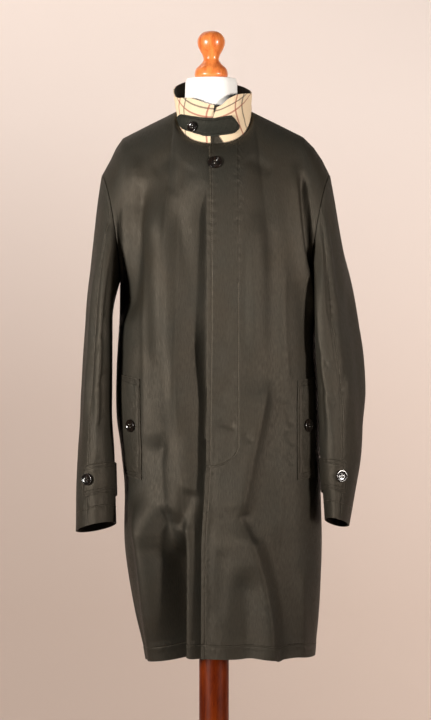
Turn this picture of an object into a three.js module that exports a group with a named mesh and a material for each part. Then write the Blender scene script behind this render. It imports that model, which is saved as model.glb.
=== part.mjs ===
// A knee-length overcoat worn by a limbless dress form on a wooden stand.
// Millimetres, +Z up. The floor is z = 0 under the middle of the base, the coat's front faces -Y,
// and the wearer's left is +X. Each cut-and-sewn piece is one closed mesh: a thin cloth wall whose
// outer face is worked out from the tables below, and whose inner face is that face moved inwards.

import * as THREE from 'three';

// ---------------------------------------------------------------- driving dimensions

const CLOTH = 2.0; // shell and facing together, as one wall
const COLLAR_CLOTH = 1.2; // each of the collar's two plies
const TRIM = 1.8; // welts and straps
const SEAM = 0.35; // clearance between pieces that are sewn or laid together
const ARMHOLE_SEAM = 1.3; // the same where a sleeve's facets meet the body's
const LAID = 0.95; // lift of a welt or strap, which spans the small facets of the cloth under it
const BUTTON_LIFT = 0.6; // lift of a button over what it is sewn to
const STRAP_BUTTON_LIFT = 0.8; // the same on the throat strap, which bends more

const HEM = { front: 497, back: 489, right: 483, left: 491 }; // height of the hem all round
const CHEST_Z = 1165; // level of the underarm, where the side seam ends and the armhole begins
const CUFF_STRAP_HEIGHT = 57;

const BASE_RADIUS = 180;
const BASE_HEIGHT = 34;
const POLE_RADIUS = 27;
const FORM_BOTTOM_Z = 862;
const NECK_TOP_Z = 1537;
const NECK_X = -5; // the stand's neck and finial lean this far to the wearer's right

// The body below the underarm: reach of each side, depths in front and behind, squareness.
const BODY = [
  { z: 480, right: -124, left: 183, front: 146, back: 168, square: 2.1 },
  { z: 516, right: -131, left: 186, front: 147, back: 166, square: 2.1 },
  { z: 571, right: -144, left: 191, front: 148, back: 162, square: 2.15 },
  { z: 653, right: -158, left: 195, front: 150, back: 156, square: 2.2 },
  { z: 708, right: -163, left: 196, front: 151, back: 152, square: 2.2 },
  { z: 789, right: -162, left: 194, front: 152, back: 146, square: 2.25 },
  { z: 871, right: -170, left: 192, front: 151, back: 139, square: 2.3 },
  { z: 926, right: -177, left: 191, front: 150, back: 133, square: 2.3 },
  { z: 1010, right: -177, left: 189, front: 147, back: 125, square: 2.3 },
  { z: 1100, right: -172, left: 183, front: 143, back: 120, square: 2.3 },
  { z: 1165, right: -171, left: 175, front: 140, back: 122, square: 2.3 },
];

// Shoulder seam from the neck to the armhole, as reach from the middle and height.
const SHOULDER = {
  right: [
    { reach: 68, z: 1478 },
    { reach: 116, z: 1454.5 },
    { reach: 166, z: 1429 },
    { reach: 178, z: 1411.5 },
    { reach: 188, z: 1390 },
    { reach: 203, z: 1363 },
  ],
  left: [
    { reach: 68, z: 1478 },
    { reach: 116, z: 1454.5 },
    { reach: 162, z: 1431.5 },
    { reach: 182, z: 1411.5 },
    { reach: 197, z: 1389 },
    { reach: 210, z: 1363 },
  ],
};

// The neckline: half width, front and back reach, and its heights.
const NECKLINE = { width: 68.5, front: 72, back: 60, frontZ: 1414, sideZ: 1478, backZ: 1482 };
const NECK_SHARE = 0.36; // share of a panel's top edge that is neckline

// How each column of a panel rises from the chest (lift) and arrives at its top edge (fall):
// handle vectors of a Bezier curve, for the front with -y and for the back with +y.
const FRONT_RISE = [
  { u: 0.0, liftX: 0, liftY: 4, liftZ: 88, fallX: 0, fallY: -42, fallZ: -40 },
  { u: 0.36, liftX: 0, liftY: 3, liftZ: 88, fallX: 8, fallY: -62, fallZ: -22 },
  { u: 0.7, liftX: 1, liftY: -3, liftZ: 72, fallX: 8, fallY: -68, fallZ: -22 },
  { u: 0.8, liftX: 0, liftY: -14, liftZ: 60, fallX: 2, fallY: -72, fallZ: -24 },
  { u: 0.9, liftX: -4, liftY: -48, liftZ: 36, fallX: -8, fallY: -74, fallZ: -28 },
  { u: 1.0, liftX: -8, liftY: -84, liftZ: 10, fallX: -18, fallY: -80, fallZ: -22 },
];
const BACK_RISE = [
  { u: 0.0, liftX: 0, liftY: 3, liftZ: 96, fallX: 0, fallY: 52, fallZ: -28 },
  { u: 0.36, liftX: 0, liftY: 3, liftZ: 92, fallX: 8, fallY: 74, fallZ: -18 },
  { u: 0.7, liftX: 1, liftY: 6, liftZ: 74, fallX: 8, fallY: 78, fallZ: -18 },
  { u: 0.8, liftX: 0, liftY: 18, liftZ: 60, fallX: 2, fallY: 78, fallZ: -20 },
  { u: 0.9, liftX: -4, liftY: 50, liftZ: 38, fallX: -8, fallY: 80, fallZ: -24 },
  { u: 1.0, liftX: -8, liftY: 86, liftZ: 12, fallX: -18, fallY: 84, fallZ: -18 },
];

// The largest folds, each from its top to its bottom: depth is out of the body, so a valley is minus.
const FRONT_FOLDS = [
  { x0: -62, z0: 1250, x1: -40, z1: 1000, width: 17, depth: -9 }, // valley down to the fly edge
  { x0: -42, z0: 1060, x1: -32, z1: 640, width: 15, depth: -13 }, // valley along the fly edge
  { x0: -101, z0: 1060, x1: -94, z1: 690, width: 16, depth: -8 }, // valley inside the right pocket
  { x0: -66, z0: 760, x1: -56, z1: 400, width: 20, depth: -15 }, // valley that notches the hem
  { x0: -108, z0: 740, x1: -100, z1: 400, width: 20, depth: 6 }, // ridge beside that notch
  { x0: 90, z0: 985, x1: 44, z1: 720, width: 15, depth: -7 }, // slanting valley, left front
  { x0: 76, z0: 740, x1: 118, z1: 440, width: 17, depth: 11 }, // bright ridge down to the hem
  { x0: 44, z0: 680, x1: 60, z1: 380, width: 30, depth: -13 }, // hollow inside that ridge
  { x0: 150, z0: 700, x1: 152, z1: 400, width: 20, depth: -6 }, // valley near the left side
  { x0: 138, z0: 1400, x1: 150, z1: 1230, width: 11, depth: 7 }, // drape in front of the armhole
  { x0: -140, z0: 1400, x1: -150, z1: 1230, width: 11, depth: 5 },
];
const BACK_FOLDS = [
  { x0: -70, z0: 1180, x1: -92, z1: 400, width: 30, depth: 9 },
  { x0: -22, z0: 1040, x1: -34, z1: 400, width: 24, depth: -8 },
  { x0: 30, z0: 1100, x1: 36, z1: 400, width: 30, depth: 9 },
  { x0: 92, z0: 1060, x1: 100, z1: 400, width: 24, depth: -8 },
  { x0: 134, z0: 1000, x1: 146, z1: 400, width: 20, depth: 6 },
];

// The fly: where each front's free edge runs. The wearer's left front lies on top.
const FLY_EDGE_LEFT = [
  { z: 497, x: -23 },
  { z: 707, x: -22 },
  { z: 831, x: -14 },
  { z: 1080, x: -11 },
  { z: 1165, x: -11 },
];
const FLY_EDGE_RIGHT_X = 26; // hidden under the left front
// The two fronts where they lie over each other: room between them, and where the lower one starts
// to pass under the other.
const UNDERLAP = { ease: 3.4, fromX: -60, over: 38 };
const FLY_NECK_LEFT_X = -15; // free edges at the neckline
const FLY_NECK_RIGHT_X = 20;

// Sleeves: reach of the outer and inner side, middle and half depth in y, lean of the section.
const SLEEVE = {
  right: [
    { z: 700, outer: 249, inner: 176, y: -50, depth: 56, lean: 0.0 },
    { z: 726, outer: 249, inner: 176, y: -50, depth: 57, lean: 0.0 },
    { z: 800, outer: 248.5, inner: 178, y: -44, depth: 63, lean: 0.03 },
    { z: 860, outer: 246, inner: 180, y: -38, depth: 70, lean: 0.04 },
    { z: 920, outer: 242.5, inner: 184, y: -32, depth: 75, lean: 0.05 },
    { z: 980, outer: 239, inner: 184, y: -26, depth: 79, lean: 0.05 },
    { z: 1040, outer: 235.5, inner: 184, y: -20, depth: 83, lean: 0.06 },
    { z: 1100, outer: 231.5, inner: 184, y: -14, depth: 86, lean: 0.06 },
  ],
  left: [
    { z: 700, outer: 237, inner: 200, y: -58, depth: 62, lean: 0.06 },
    { z: 735, outer: 243.5, inner: 199, y: -56, depth: 63, lean: 0.08 },
    { z: 800, outer: 255, inner: 195, y: -51, depth: 67, lean: 0.14 },
    { z: 860, outer: 264.5, inner: 191.5, y: -46, depth: 71, lean: 0.18 },
    { z: 920, outer: 268.5, inner: 190.5, y: -40, depth: 75, lean: 0.2 },
    { z: 980, outer: 270.5, inner: 190.5, y: -34, depth: 78, lean: 0.2 },
    { z: 1040, outer: 266, inner: 190, y: -28, depth: 81, lean: 0.2 },
    { z: 1100, outer: 257, inner: 189.5, y: -20, depth: 84, lean: 0.16 },
  ],
};
const CUFF_Z = { right: 725, left: 734 };
const CAP_Z = 1100; // above this level the sleeve bends into the armhole
const CUFF_TILT_X = 0.2; // fall of the cuff's edge, outwards and backwards
const CUFF_TILT_Y = 0.17;
const CUFF_TILT_REACH = 330; // how far up the sleeve the tilt fades out
const SLEEVE_ROUNDNESS = 0.9; // 1 is an ellipse, less is boxier
const SLEEVE_MIDDLE = { x: 215, y: -20, z: 1000 }; // a place inside each sleeve
const CUFF_MIDDLE = { x: 215, y: -45, z: 800 }; // and inside its cuff
const SLEEVE_FRONT_SEAM = 0.2; // shares of the way round, from the outside over the front
const SLEEVE_BACK_SEAM = 0.7;
const SLEEVE_SEAM_SHARE = 0.0006; // half of the clearance at those seams, as a share of the way round

// How the sleeve leaves the armhole (out, forward, down) and reaches the ring at CAP_Z (up).
const CAP = [
  { s: 0.0, out: 9, forward: 0, down: 40, up: 82 },
  { s: 0.25, out: 12, forward: 14, down: 42, up: 56 },
  { s: 0.5, out: 5, forward: 0, down: 16, up: 20 },
  { s: 0.75, out: 12, forward: -14, down: 42, up: 56 },
  { s: 1.0, out: 9, forward: 0, down: 40, up: 82 },
];

// The raised collar: rim height at each bearing, from the front (0) over the wearer's left (90).
const COLLAR_RIM = [
  { bearing: -2, z: 1478 },
  { bearing: 12, z: 1484 },
  { bearing: 22, z: 1495 },
  { bearing: 40, z: 1505 },
  { bearing: 90, z: 1512 },
  { bearing: 135, z: 1529 },
  { bearing: 180, z: 1538 },
  { bearing: 225, z: 1536 },
  { bearing: 262, z: 1520 },
  { bearing: 290, z: 1502 },
  { bearing: 325, z: 1498 },
  { bearing: 350, z: 1488 },
  { bearing: 364, z: 1484 },
];
// Front edges of its two leaves, by share of the height.
const LEAF_EDGE = [
  { h: 0.0, left: 14.5, right: 354.5 },
  { h: 0.25, left: 6, right: 355 },
  { h: 0.7, left: -1, right: 360 },
  { h: 1.0, left: 5, right: 362 },
];
const COLLAR_TOP = { x: -5, y: 2, width: 71.5, depth: 63 };
// How far the wearer's right leaf runs behind the other, and at which bearings it starts to.
const LEAF_TUCK = { depth: 3.6, from: 325, over: 28 };
const COLLAR_SEAT = { out: 0.6, up: 0.8 }; // the collar's foot just inside and over the neckline
const COLLAR_MIDDLE = { x: NECK_X, y: 0, z: 1490 };

const THROAT_STRAP = [
  { bearing: -71, low: 1460, high: 1465 },
  { bearing: -55, low: 1443, high: 1470 },
  { bearing: -15, low: 1428, high: 1461.5 },
  { bearing: 0, low: 1427, high: 1460 },
  { bearing: 27, low: 1432, high: 1466 },
  { bearing: 33, low: 1434.5, high: 1459 },
  { bearing: 41, low: 1442, high: 1447 },
];

// Welts of the side pockets: reach of their two long edges at the top and at the bottom, and how much
// higher their ends lie at the outer edge.
const WELT = {
  right: { z0: 812, z1: 992, seam0: 130, seam1: 130, edge0: 158, edge1: 163, slant: 8 },
  left: { z0: 812, z1: 990, seam0: 148, seam1: 149, edge0: 178, edge1: 178, slant: 5 },
};

// Buttons: radius and where they sit.
const BUTTON = {
  top: { radius: 12.5, x: 2, z: 1378 },
  throat: { radius: 9.5, bearing: -31, z: 1445 },
  welt: { radius: 11.5, x: { right: -146, left: 166 }, z: 909 },
  cuff: { radius: 11, s: { right: 0.197, left: 0.21 }, z: { right: 806, left: 811 } },
};
// Half steps by which a button's tilt is read from the surface under it: lengths, degrees, shares.
const TILT_STEP = { length: 6, bearing: 5, share: 0.02 };
// Search for a place on the chest: where it starts, how many steps, their pace and the nudge.
const CHEST_SEARCH = { u: 0.12, t: 0.8, steps: 30, pace: 0.7, nudge: 0.001 };
const HALVINGS = 40; // of the search for a place across a front
// A button's turned section, from the middle of its back round its rim to the middle of its face.
const BUTTON_PROFILE = [
  { share: 0, height: 0 },
  { share: 0.8, height: 0 },
  { share: 1, height: 1.2 },
  { share: 0.97, height: 3.0 },
  { share: 0.8, height: 3.4 },
  { share: 0.62, height: 2.4 },
  { share: 0, height: 2.2 },
];
const CUFF_STRAP_BLUNTNESS = 0.15; // how wide the strap starts at its tip
const CUFF_STRAP = {
  right: { z: 776, tip: 0.125, shoulder: 0.175, root: 0.69 },
  left: { z: 783, tip: 0.155, shoulder: 0.165, root: 0.69 },
};

// The form: half width and depths of the torso, up to the neck.
const FORM = [
  { z: 862, x: 0, width: 138, front: 104, back: 98 },
  { z: 930, x: 0, width: 140, front: 104, back: 96 },
  { z: 1010, x: 0, width: 128, front: 96, back: 84 },
  { z: 1100, x: 0, width: 134, front: 104, back: 86 },
  { z: 1185, x: 0, width: 142, front: 112, back: 92 },
  { z: 1300, x: 0, width: 152, front: 100, back: 96 },
  { z: 1370, x: 0, width: 162, front: 82, back: 84 },
  { z: 1405, x: 0, width: 164, front: 60, back: 62 },
];
// Its shoulders, whose width follows the coat's seam: depth, and how far the neck stands out.
const FORM_SHOULDERS = [
  { z: 1422, depth: 48, neck: 6 },
  { z: 1431, depth: 42, neck: 9 },
  { z: 1440, depth: 40, neck: 10 },
  { z: 1450, depth: 32, neck: 17 },
  { z: 1462, depth: 22, neck: 25 },
  { z: 1470, depth: 12, neck: 34 },
];
const FORM_SHOULDER_REACH = 152;
const NECK_SPREAD = 34; // half width of the neck where it grows out of the shoulders
const FORM_SHOULDER_POWER = 1.4; // the sharpness of the shoulders' section, 2 is an ellipse
const FORM_NECK = [
  { z: 1474, x: -1, width: 62, front: 16, back: 18, neck: 31, power: 1.5 },
  { z: 1481, x: -3, width: 55, front: 45, back: 46 },
  { z: 1488, x: -4, width: 51, front: 47, back: 48 },
  { z: 1502, x: -5, width: 48, front: 47, back: 47 },
  { z: 1530, x: -5, width: 47, front: 47, back: 47 },
  { z: 1537, x: -5, width: 45, front: 45, back: 45 },
];

// Turned profiles, as radius and height.
const FINIAL = [
  [24, 0],
  [29.3, 4],
  [29.9, 11],
  [27.4, 18.5],
  [18, 28],
  [14.1, 34.5],
  [15.8, 43],
  [20.9, 52],
  [24.4, 61],
  [24.8, 71],
  [20, 80],
  [11, 86],
];
const BASE_PROFILE = [
  [BASE_RADIUS, 0],
  [BASE_RADIUS, 16],
  [BASE_RADIUS - 6, 22],
  [BASE_RADIUS - 60, BASE_HEIGHT - 4],
  [POLE_RADIUS + 22, BASE_HEIGHT],
];

// Mesh fineness: rows up a panel and columns across it.
const GRID = {
  below: 20, // rows of a panel below the underarm
  above: 10, // and above it
  front: 17,
  back: 14,
  sleeve: [20, 10],
  collar: [5, 27],
  throatStrap: [4, 19],
  welt: [14, 6],
  cuffStrap: [4, 22],
  round: 28,
  button: 16,
};

const MATERIAL = {
  gabardine: new THREE.MeshStandardMaterial({ color: 0x4a4336, roughness: 0.55, metalness: 0 }),
  check: new THREE.MeshStandardMaterial({ color: 0xdcc3a0, roughness: 0.8, metalness: 0 }),
  strap: new THREE.MeshStandardMaterial({ color: 0x35362b, roughness: 0.6, metalness: 0 }),
  button: new THREE.MeshStandardMaterial({ color: 0x1a1310, roughness: 0.25, metalness: 0 }),
  jersey: new THREE.MeshStandardMaterial({ color: 0xf4f1ec, roughness: 0.9, metalness: 0 }),
  finial: new THREE.MeshStandardMaterial({ color: 0xc96a33, roughness: 0.25, metalness: 0 }),
  pole: new THREE.MeshStandardMaterial({ color: 0x6e2f17, roughness: 0.35, metalness: 0 }),
};

// ---------------------------------------------------------------- small helpers

const V = (x, y, z) => new THREE.Vector3(x, y, z);
const place = ({ x, y, z }, side = 1) => V(side * x, y, z);
const mix = (a, b, t) => a + (b - a) * t;
const clamp = (t) => Math.min(1, Math.max(0, t));
const smooth = (t) => clamp(t) ** 2 * (3 - 2 * clamp(t));
const signedPower = (value, power) => Math.sign(value) * Math.abs(value) ** power;
const sideOf = (name) => (name === 'left' ? 1 : -1);

// Reads a column of a table at a place along its key, on a smooth curve through the rows.
function read(rows, key, name, at) {
  const last = rows.length - 1;
  let i = 0;
  while (i < last - 1 && at > rows[i + 1][key]) i += 1;
  const slope = (k) => {
    const a = rows[Math.max(0, k - 1)];
    const b = rows[Math.min(last, k + 1)];
    return (b[name] - a[name]) / (b[key] - a[key]);
  };
  const [p, q] = [rows[i], rows[i + 1]];
  const span = q[key] - p[key];
  const t = clamp((at - p[key]) / span);
  const start = p[name] * (1 + 2 * t) * (1 - t) ** 2 + slope(i) * span * t * (1 - t) ** 2;
  return start + q[name] * t * t * (3 - 2 * t) - slope(i + 1) * span * t * t * (1 - t);
}

// The same on straight lines between the rows.
function readStraight(rows, key, name, at) {
  let i = 0;
  while (i < rows.length - 2 && at > rows[i + 1][key]) i += 1;
  const [p, q] = [rows[i], rows[i + 1]];
  return mix(p[name], q[name], clamp((at - p[key]) / (q[key] - p[key])));
}

function bezier(a, b, c, d, t) {
  const r = 1 - t;
  return V(0, 0, 0)
    .addScaledVector(a, r * r * r)
    .addScaledVector(b, 3 * r * r * t)
    .addScaledVector(c, 3 * r * t * t)
    .addScaledVector(d, t * t * t);
}

// A grid of points, rows by columns, from a function of two shares.
function makeGrid(rows, columns, point) {
  const line = (i) =>
    Array.from({ length: columns }, (_, j) => point(j / (columns - 1), i / (rows - 1)));
  return Array.from({ length: rows }, (_, i) => line(i));
}

// Unit normals of a grid, turned to face away from the point `inside`.
function gridNormals(grid, inside) {
  const rows = grid.length;
  const columns = grid[0].length;
  let facing = 0;
  const normals = grid.map((row, i) =>
    row.map((point, j) => {
      const across = row[Math.min(j + 1, columns - 1)].clone().sub(row[Math.max(j - 1, 0)]);
      const up = grid[Math.min(i + 1, rows - 1)][j].clone().sub(grid[Math.max(i - 1, 0)][j]);
      const normal = across.cross(up).normalize();
      facing += normal.dot(point.clone().sub(inside));
      return normal;
    }),
  );
  const turn = Math.sign(facing);
  return { normals: normals.map((row) => row.map((n) => n.multiplyScalar(turn))), turn };
}

// A closed mesh from an outer grid and the inner grid behind it.
function shell(outer, inner, turn) {
  const rows = outer.length;
  const columns = outer[0].length;
  const position = [...outer.flat(), ...inner.flat()].flatMap((p) => [p.x, p.y, p.z]);
  const index = [];
  const at = (layer, i, j) => layer * rows * columns + i * columns + j;
  const quad = (a, b, c, d) => index.push(...(turn > 0 ? [a, b, c, a, c, d] : [a, c, b, a, d, c]));
  for (let i = 0; i < rows - 1; i += 1) {
    for (let j = 0; j < columns - 1; j += 1) {
      quad(at(0, i, j), at(0, i, j + 1), at(0, i + 1, j + 1), at(0, i + 1, j));
      quad(at(1, i, j), at(1, i + 1, j), at(1, i + 1, j + 1), at(1, i, j + 1));
    }
    quad(at(0, i, columns - 1), at(1, i, columns - 1), at(1, i + 1, columns - 1),
      at(0, i + 1, columns - 1));
    quad(at(0, i, 0), at(0, i + 1, 0), at(1, i + 1, 0), at(1, i, 0));
  }
  for (let j = 0; j < columns - 1; j += 1) {
    quad(at(0, 0, j), at(1, 0, j), at(1, 0, j + 1), at(0, 0, j + 1));
    quad(at(0, rows - 1, j), at(0, rows - 1, j + 1), at(1, rows - 1, j + 1), at(1, rows - 1, j));
  }
  const geometry = new THREE.BufferGeometry();
  geometry.setAttribute('position', new THREE.Float32BufferAttribute(position, 3));
  geometry.setIndex(index);
  geometry.computeVertexNormals();
  return geometry;
}

// A cloth wall: the outer grid lies `lift` over the given one, and `settle` may turn the
// direction in which an edge point is moved, so that two pieces meet face to face.
function clothWall(grid, inside, thickness, lift = 0, settle = (normal) => normal,
  { normals, turn } = gridNormals(grid, inside)) {
  const moved = (distance) =>
    grid.map((row, i) =>
      row.map((point, j) =>
        point.clone().addScaledVector(settle(normals[i][j].clone(), i, j, point), distance),
      ),
    );
  return shell(moved(lift), moved(lift - thickness), turn);
}

const group = new THREE.Group();

function addPiece(name, geometry, material) {
  const mesh = new THREE.Mesh(geometry, material);
  mesh.name = name;
  group.add(mesh);
  return mesh;
}

// ---------------------------------------------------------------- the body's surface

function foldDepth(folds, x, z) {
  let depth = 0;
  for (const fold of folds) {
    const t = (fold.z0 - z) / (fold.z0 - fold.z1);
    if (t > 0 && t < 1) {
      const away = (x - mix(fold.x0, fold.x1, t)) / fold.width;
      depth += fold.depth * smooth(t / 0.25) * smooth((1 - t) / 0.12) * Math.exp(-away * away);
    }
  }
  return depth;
}

// One level of the body: its middle, half width, depth on the face asked for, and squareness.
function section(face, z) {
  const value = (name) => read(BODY, 'z', name, z);
  const [right, left] = [value('right'), value('left')];
  return { x: (right + left) / 2, half: (left - right) / 2, depth: value(face), n: value('square') };
}

// Where a panel's free edge or middle runs at a level, as x.
function edgeX(piece, z) {
  if (piece === 'front_left') return readStraight(FLY_EDGE_LEFT, 'z', 'x', z);
  return piece === 'front_right' ? FLY_EDGE_RIGHT_X : 0;
}

// A point below the underarm, from the free edge or middle (u = 0) to the side seam (u = 1).
function lowerPoint(piece, side, u, z) {
  const face = piece === 'back' ? 'back' : 'front';
  const front = face === 'front' ? -1 : 1;
  const { x, half, depth, n } = section(face, z);
  const startReach = (edgeX(piece, z) - x) / half;
  const start = Math.asin(signedPower(startReach, n / 2));
  const angle = mix(start, side * (Math.PI / 2), u);
  const out = V(Math.sin(angle), front * Math.cos(angle), 0);
  const point = V(
    x + half * signedPower(Math.sin(angle), 2 / n),
    front * depth * Math.abs(Math.cos(angle)) ** (2 / n),
    z,
  );
  const folds = face === 'front' ? FRONT_FOLDS : BACK_FOLDS;
  const calm = 1 - Math.sin(angle) ** 12;
  return point.addScaledVector(out, foldDepth(folds, point.x, z) * calm);
}

function neckPoint(piece, bearing) {
  const sine = Math.sin(bearing);
  const cosine = Math.cos(bearing);
  const back = piece === 'back';
  const lowest = back ? NECKLINE.backZ : NECKLINE.frontZ;
  const drop = (1 - Math.max(0, cosine)) ** (back ? 1 : 1.25);
  const y = back ? NECKLINE.back * cosine : -NECKLINE.front * cosine;
  return V(NECKLINE.width * sine, y, mix(lowest, NECKLINE.sideZ, drop));
}

function shoulderPoint(sideName, share) {
  const rows = SHOULDER[sideName];
  const reach = mix(rows[0].reach, rows[rows.length - 1].reach, share);
  return V(sideOf(sideName) * reach, 0, readStraight(rows, 'reach', 'z', reach));
}

// A panel's top edge: neckline, then shoulder seam.
function topPoint(piece, sideName, u) {
  if (u > NECK_SHARE) return shoulderPoint(sideName, (u - NECK_SHARE) / (1 - NECK_SHARE));
  const start = { front_left: FLY_NECK_LEFT_X, front_right: -FLY_NECK_RIGHT_X, back: 0 }[piece];
  const first = Math.asin(start / NECKLINE.width);
  const bearing = mix(first, Math.PI / 2, u / NECK_SHARE);
  const point = neckPoint(piece, bearing);
  point.x *= sideOf(sideName);
  return point;
}

// A point above the underarm; t runs from the underarm's level to the top edge.
function upperPoint(piece, sideName, u, t) {
  const side = sideOf(sideName);
  const rows = piece === 'back' ? BACK_RISE : FRONT_RISE;
  const handle = (kind) =>
    V(side * read(rows, 'u', `${kind}X`, u), read(rows, 'u', `${kind}Y`, u),
      read(rows, 'u', `${kind}Z`, u));
  const foot = lowerPoint(piece, side, u, CHEST_Z);
  const top = topPoint(piece, sideName, u);
  const point = bezier(foot, foot.clone().add(handle('lift')), top.clone().add(handle('fall')),
    top, t);
  const folds = piece === 'back' ? BACK_FOLDS : FRONT_FOLDS;
  const fade = smooth(t / 0.15) * smooth((1 - t) / 0.25) * (1 - u ** 12);
  const front = piece === 'back' ? 1 : -1;
  return point.add(V(0, front * foldDepth(folds, point.x, point.z) * fade, 0));
}

// The whole panel: v runs from the hem to the top edge.
const CHEST_SHARE = GRID.below / (GRID.below + GRID.above);
function bodyPoint(piece, sideName, u, v) {
  if (v > CHEST_SHARE + 1e-6) {
    return upperPoint(piece, sideName, u, (v - CHEST_SHARE) / (1 - CHEST_SHARE));
  }
  const hem = mix(piece === 'back' ? HEM.back : HEM.front, HEM[sideName], smooth(u));
  return lowerPoint(piece, sideOf(sideName), u, mix(hem, CHEST_Z, v / CHEST_SHARE));
}

// ---------------------------------------------------------------- fronts and back

const ARMHOLE_MIDDLE = V(0, 0, (CHEST_Z + SHOULDER.left.at(-1).z) / 2);
const BODY_MIDDLE = V(5, 0, 1000);

// Turns an edge's direction so that neighbours meet in the plane of their seam.
function seamDirection(normal, onSide, onShoulder, onArmhole, point) {
  if (onArmhole) {
    const out = point.clone().sub(ARMHOLE_MIDDLE);
    normal.set(0, onSide || onShoulder ? 0 : out.y, out.z);
  } else if (onSide || onShoulder) {
    normal.y = 0;
  }
  return normal.normalize();
}

// How far the wearer's right front lies under the left one, fading out past the fly.
function tuckUnder(x) {
  return (CLOTH + UNDERLAP.ease) * smooth((x - UNDERLAP.fromX) / UNDERLAP.over);
}

function panelGrid(piece, sideName) {
  const rows = GRID.below + GRID.above + 1;
  const columns = piece === 'back' ? GRID.back : GRID.front;
  const gap = V(0, piece === 'back' ? SEAM / 2 : -SEAM / 2, 0);
  return makeGrid(rows, columns, (u, v) => bodyPoint(piece, sideName, u, v).add(gap));
}

function frontPanel(sideName) {
  const piece = `front_${sideName}`;
  const grid = panelGrid(piece, sideName);
  const rows = grid.length;
  const columns = grid[0].length;
  const { normals, turn } = gridNormals(grid, BODY_MIDDLE);
  const moved = (distance) =>
    grid.map((row, i) =>
      row.map((point, j) => {
        const onOuter = j === columns - 1;
        const onArmhole = onOuter && i >= GRID.below;
        const onShoulder = i === rows - 1 && j / (columns - 1) >= NECK_SHARE;
        const corner = onArmhole && i === GRID.below;
        const direction = seamDirection(normals[i][j].clone(), (onOuter && !onArmhole) || corner,
          onShoulder, onArmhole, point);
        const tuck = sideName === 'right' ? tuckUnder(point.x) : 0;
        return point.clone().addScaledVector(direction, -distance - tuck);
      }),
    );
  return shell(moved(0), moved(CLOTH), turn);
}

function backPanel() {
  const rightHalf = panelGrid('back', 'right');
  const leftHalf = panelGrid('back', 'left');
  const grid = rightHalf.map((row, i) => [...row.slice(1).reverse(), ...leftHalf[i]]);
  const rows = grid.length;
  const columns = grid[0].length;
  const half = (columns - 1) / 2;
  const settle = (normal, i, j, point) => {
    const onOuter = j === 0 || j === columns - 1;
    const onArmhole = onOuter && i >= GRID.below;
    const onShoulder = i === rows - 1 && Math.abs(j - half) / half >= NECK_SHARE;
    const corner = onArmhole && i === GRID.below;
    return seamDirection(normal, (onOuter && !onArmhole) || corner, onShoulder, onArmhole, point);
  };
  return clothWall(grid, BODY_MIDDLE, CLOTH, 0, settle);
}

addPiece('front_left', frontPanel('left'), MATERIAL.gabardine);
addPiece('front_right', frontPanel('right'), MATERIAL.gabardine);
addPiece('back', backPanel(), MATERIAL.gabardine);

// ---------------------------------------------------------------- sleeves

// One ring of the sleeve: s runs once round, from the outside over the front and the inside.
function sleeveRing(sideName, s, z) {
  const value = (name) => read(SLEEVE[sideName], 'z', name, z);
  const [outer, inner, y, depth] = ['outer', 'inner', 'y', 'depth'].map(value);
  const angle = s * 2 * Math.PI;
  const away = ((outer - inner) / 2) * signedPower(Math.cos(angle), SLEEVE_ROUNDNESS);
  const back = -depth * signedPower(Math.sin(angle), SLEEVE_ROUNDNESS);
  const tilt = smooth((CAP_Z - z) / CUFF_TILT_REACH);
  const fall = tilt * (CUFF_TILT_X * away + CUFF_TILT_Y * back);
  const reach = (outer + inner) / 2 + away + value('lean') * back;
  return V(sideOf(sideName) * reach, y + back, z - fall);
}

// The armhole that the sleeve is set into, from the shoulder over the front to the underarm.
function armholePoint(sideName, s) {
  const piece = s < 0.5 ? `front_${sideName}` : 'back';
  const t = Math.abs(1 - 2 * s);
  const gap = V(0, (s < 0.5 ? -1 : 1) * (SEAM / 2), 0);
  return upperPoint(piece, sideName, 1, t).add(gap);
}

const CAP_SHARE = 0.66;
function sleevePoint(sideName, s, v) {
  const round = ((s % 1) + 1) % 1;
  const side = sideOf(sideName);
  if (v <= CAP_SHARE) {
    return sleeveRing(sideName, round, mix(CUFF_Z[sideName], CAP_Z, v / CAP_SHARE));
  }
  const t = (v - CAP_SHARE) / (1 - CAP_SHARE);
  const value = (name) => read(CAP, 's', name, round);
  const end = armholePoint(sideName, round).add(V(side * ARMHOLE_SEAM, 0, 0));
  const start = sleeveRing(sideName, round, CAP_Z);
  const before = sleeveRing(sideName, round, CAP_Z - 10);
  const rise = start.clone().sub(before).multiplyScalar(value('up') / 10);
  const leave = V(side * value('out'), -value('forward'), -value('down'));
  return bezier(start, start.clone().add(rise), end.clone().add(leave), end, t);
}

function sleeveHalf(sideName, from, to) {
  const [rows, columns] = GRID.sleeve;
  const gap = SLEEVE_SEAM_SHARE;
  const point = (u, v) => sleevePoint(sideName, mix(from + gap, to - gap, u), v);
  const grid = makeGrid(rows, columns, point);
  // One column more at each side, so that both halves have the same normals along their seam.
  const step = 1 / (columns - 1);
  const inside = place(SLEEVE_MIDDLE, sideOf(sideName));
  const wide = makeGrid(rows, columns + 2, (u, v) => point(mix(-step, 1 + step, u), v));
  const around = gridNormals(wide, inside);
  around.normals = around.normals.map((row) => row.slice(1, -1));
  const settle = (normal, i, j, point) => {
    if (i < rows - 1) return normal;
    const out = point.clone().sub(ARMHOLE_MIDDLE);
    return normal.set(0, out.y, out.z).normalize();
  };
  return clothWall(grid, inside, CLOTH, 0, settle, around);
}

for (const side of ['left', 'right']) {
  addPiece(`sleeve_${side}_top`, sleeveHalf(side, SLEEVE_BACK_SEAM - 1, SLEEVE_FRONT_SEAM),
    MATERIAL.gabardine);
  addPiece(`sleeve_${side}_under`, sleeveHalf(side, SLEEVE_FRONT_SEAM, SLEEVE_BACK_SEAM),
    MATERIAL.gabardine);
}

// ---------------------------------------------------------------- collar and throat strap

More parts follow.
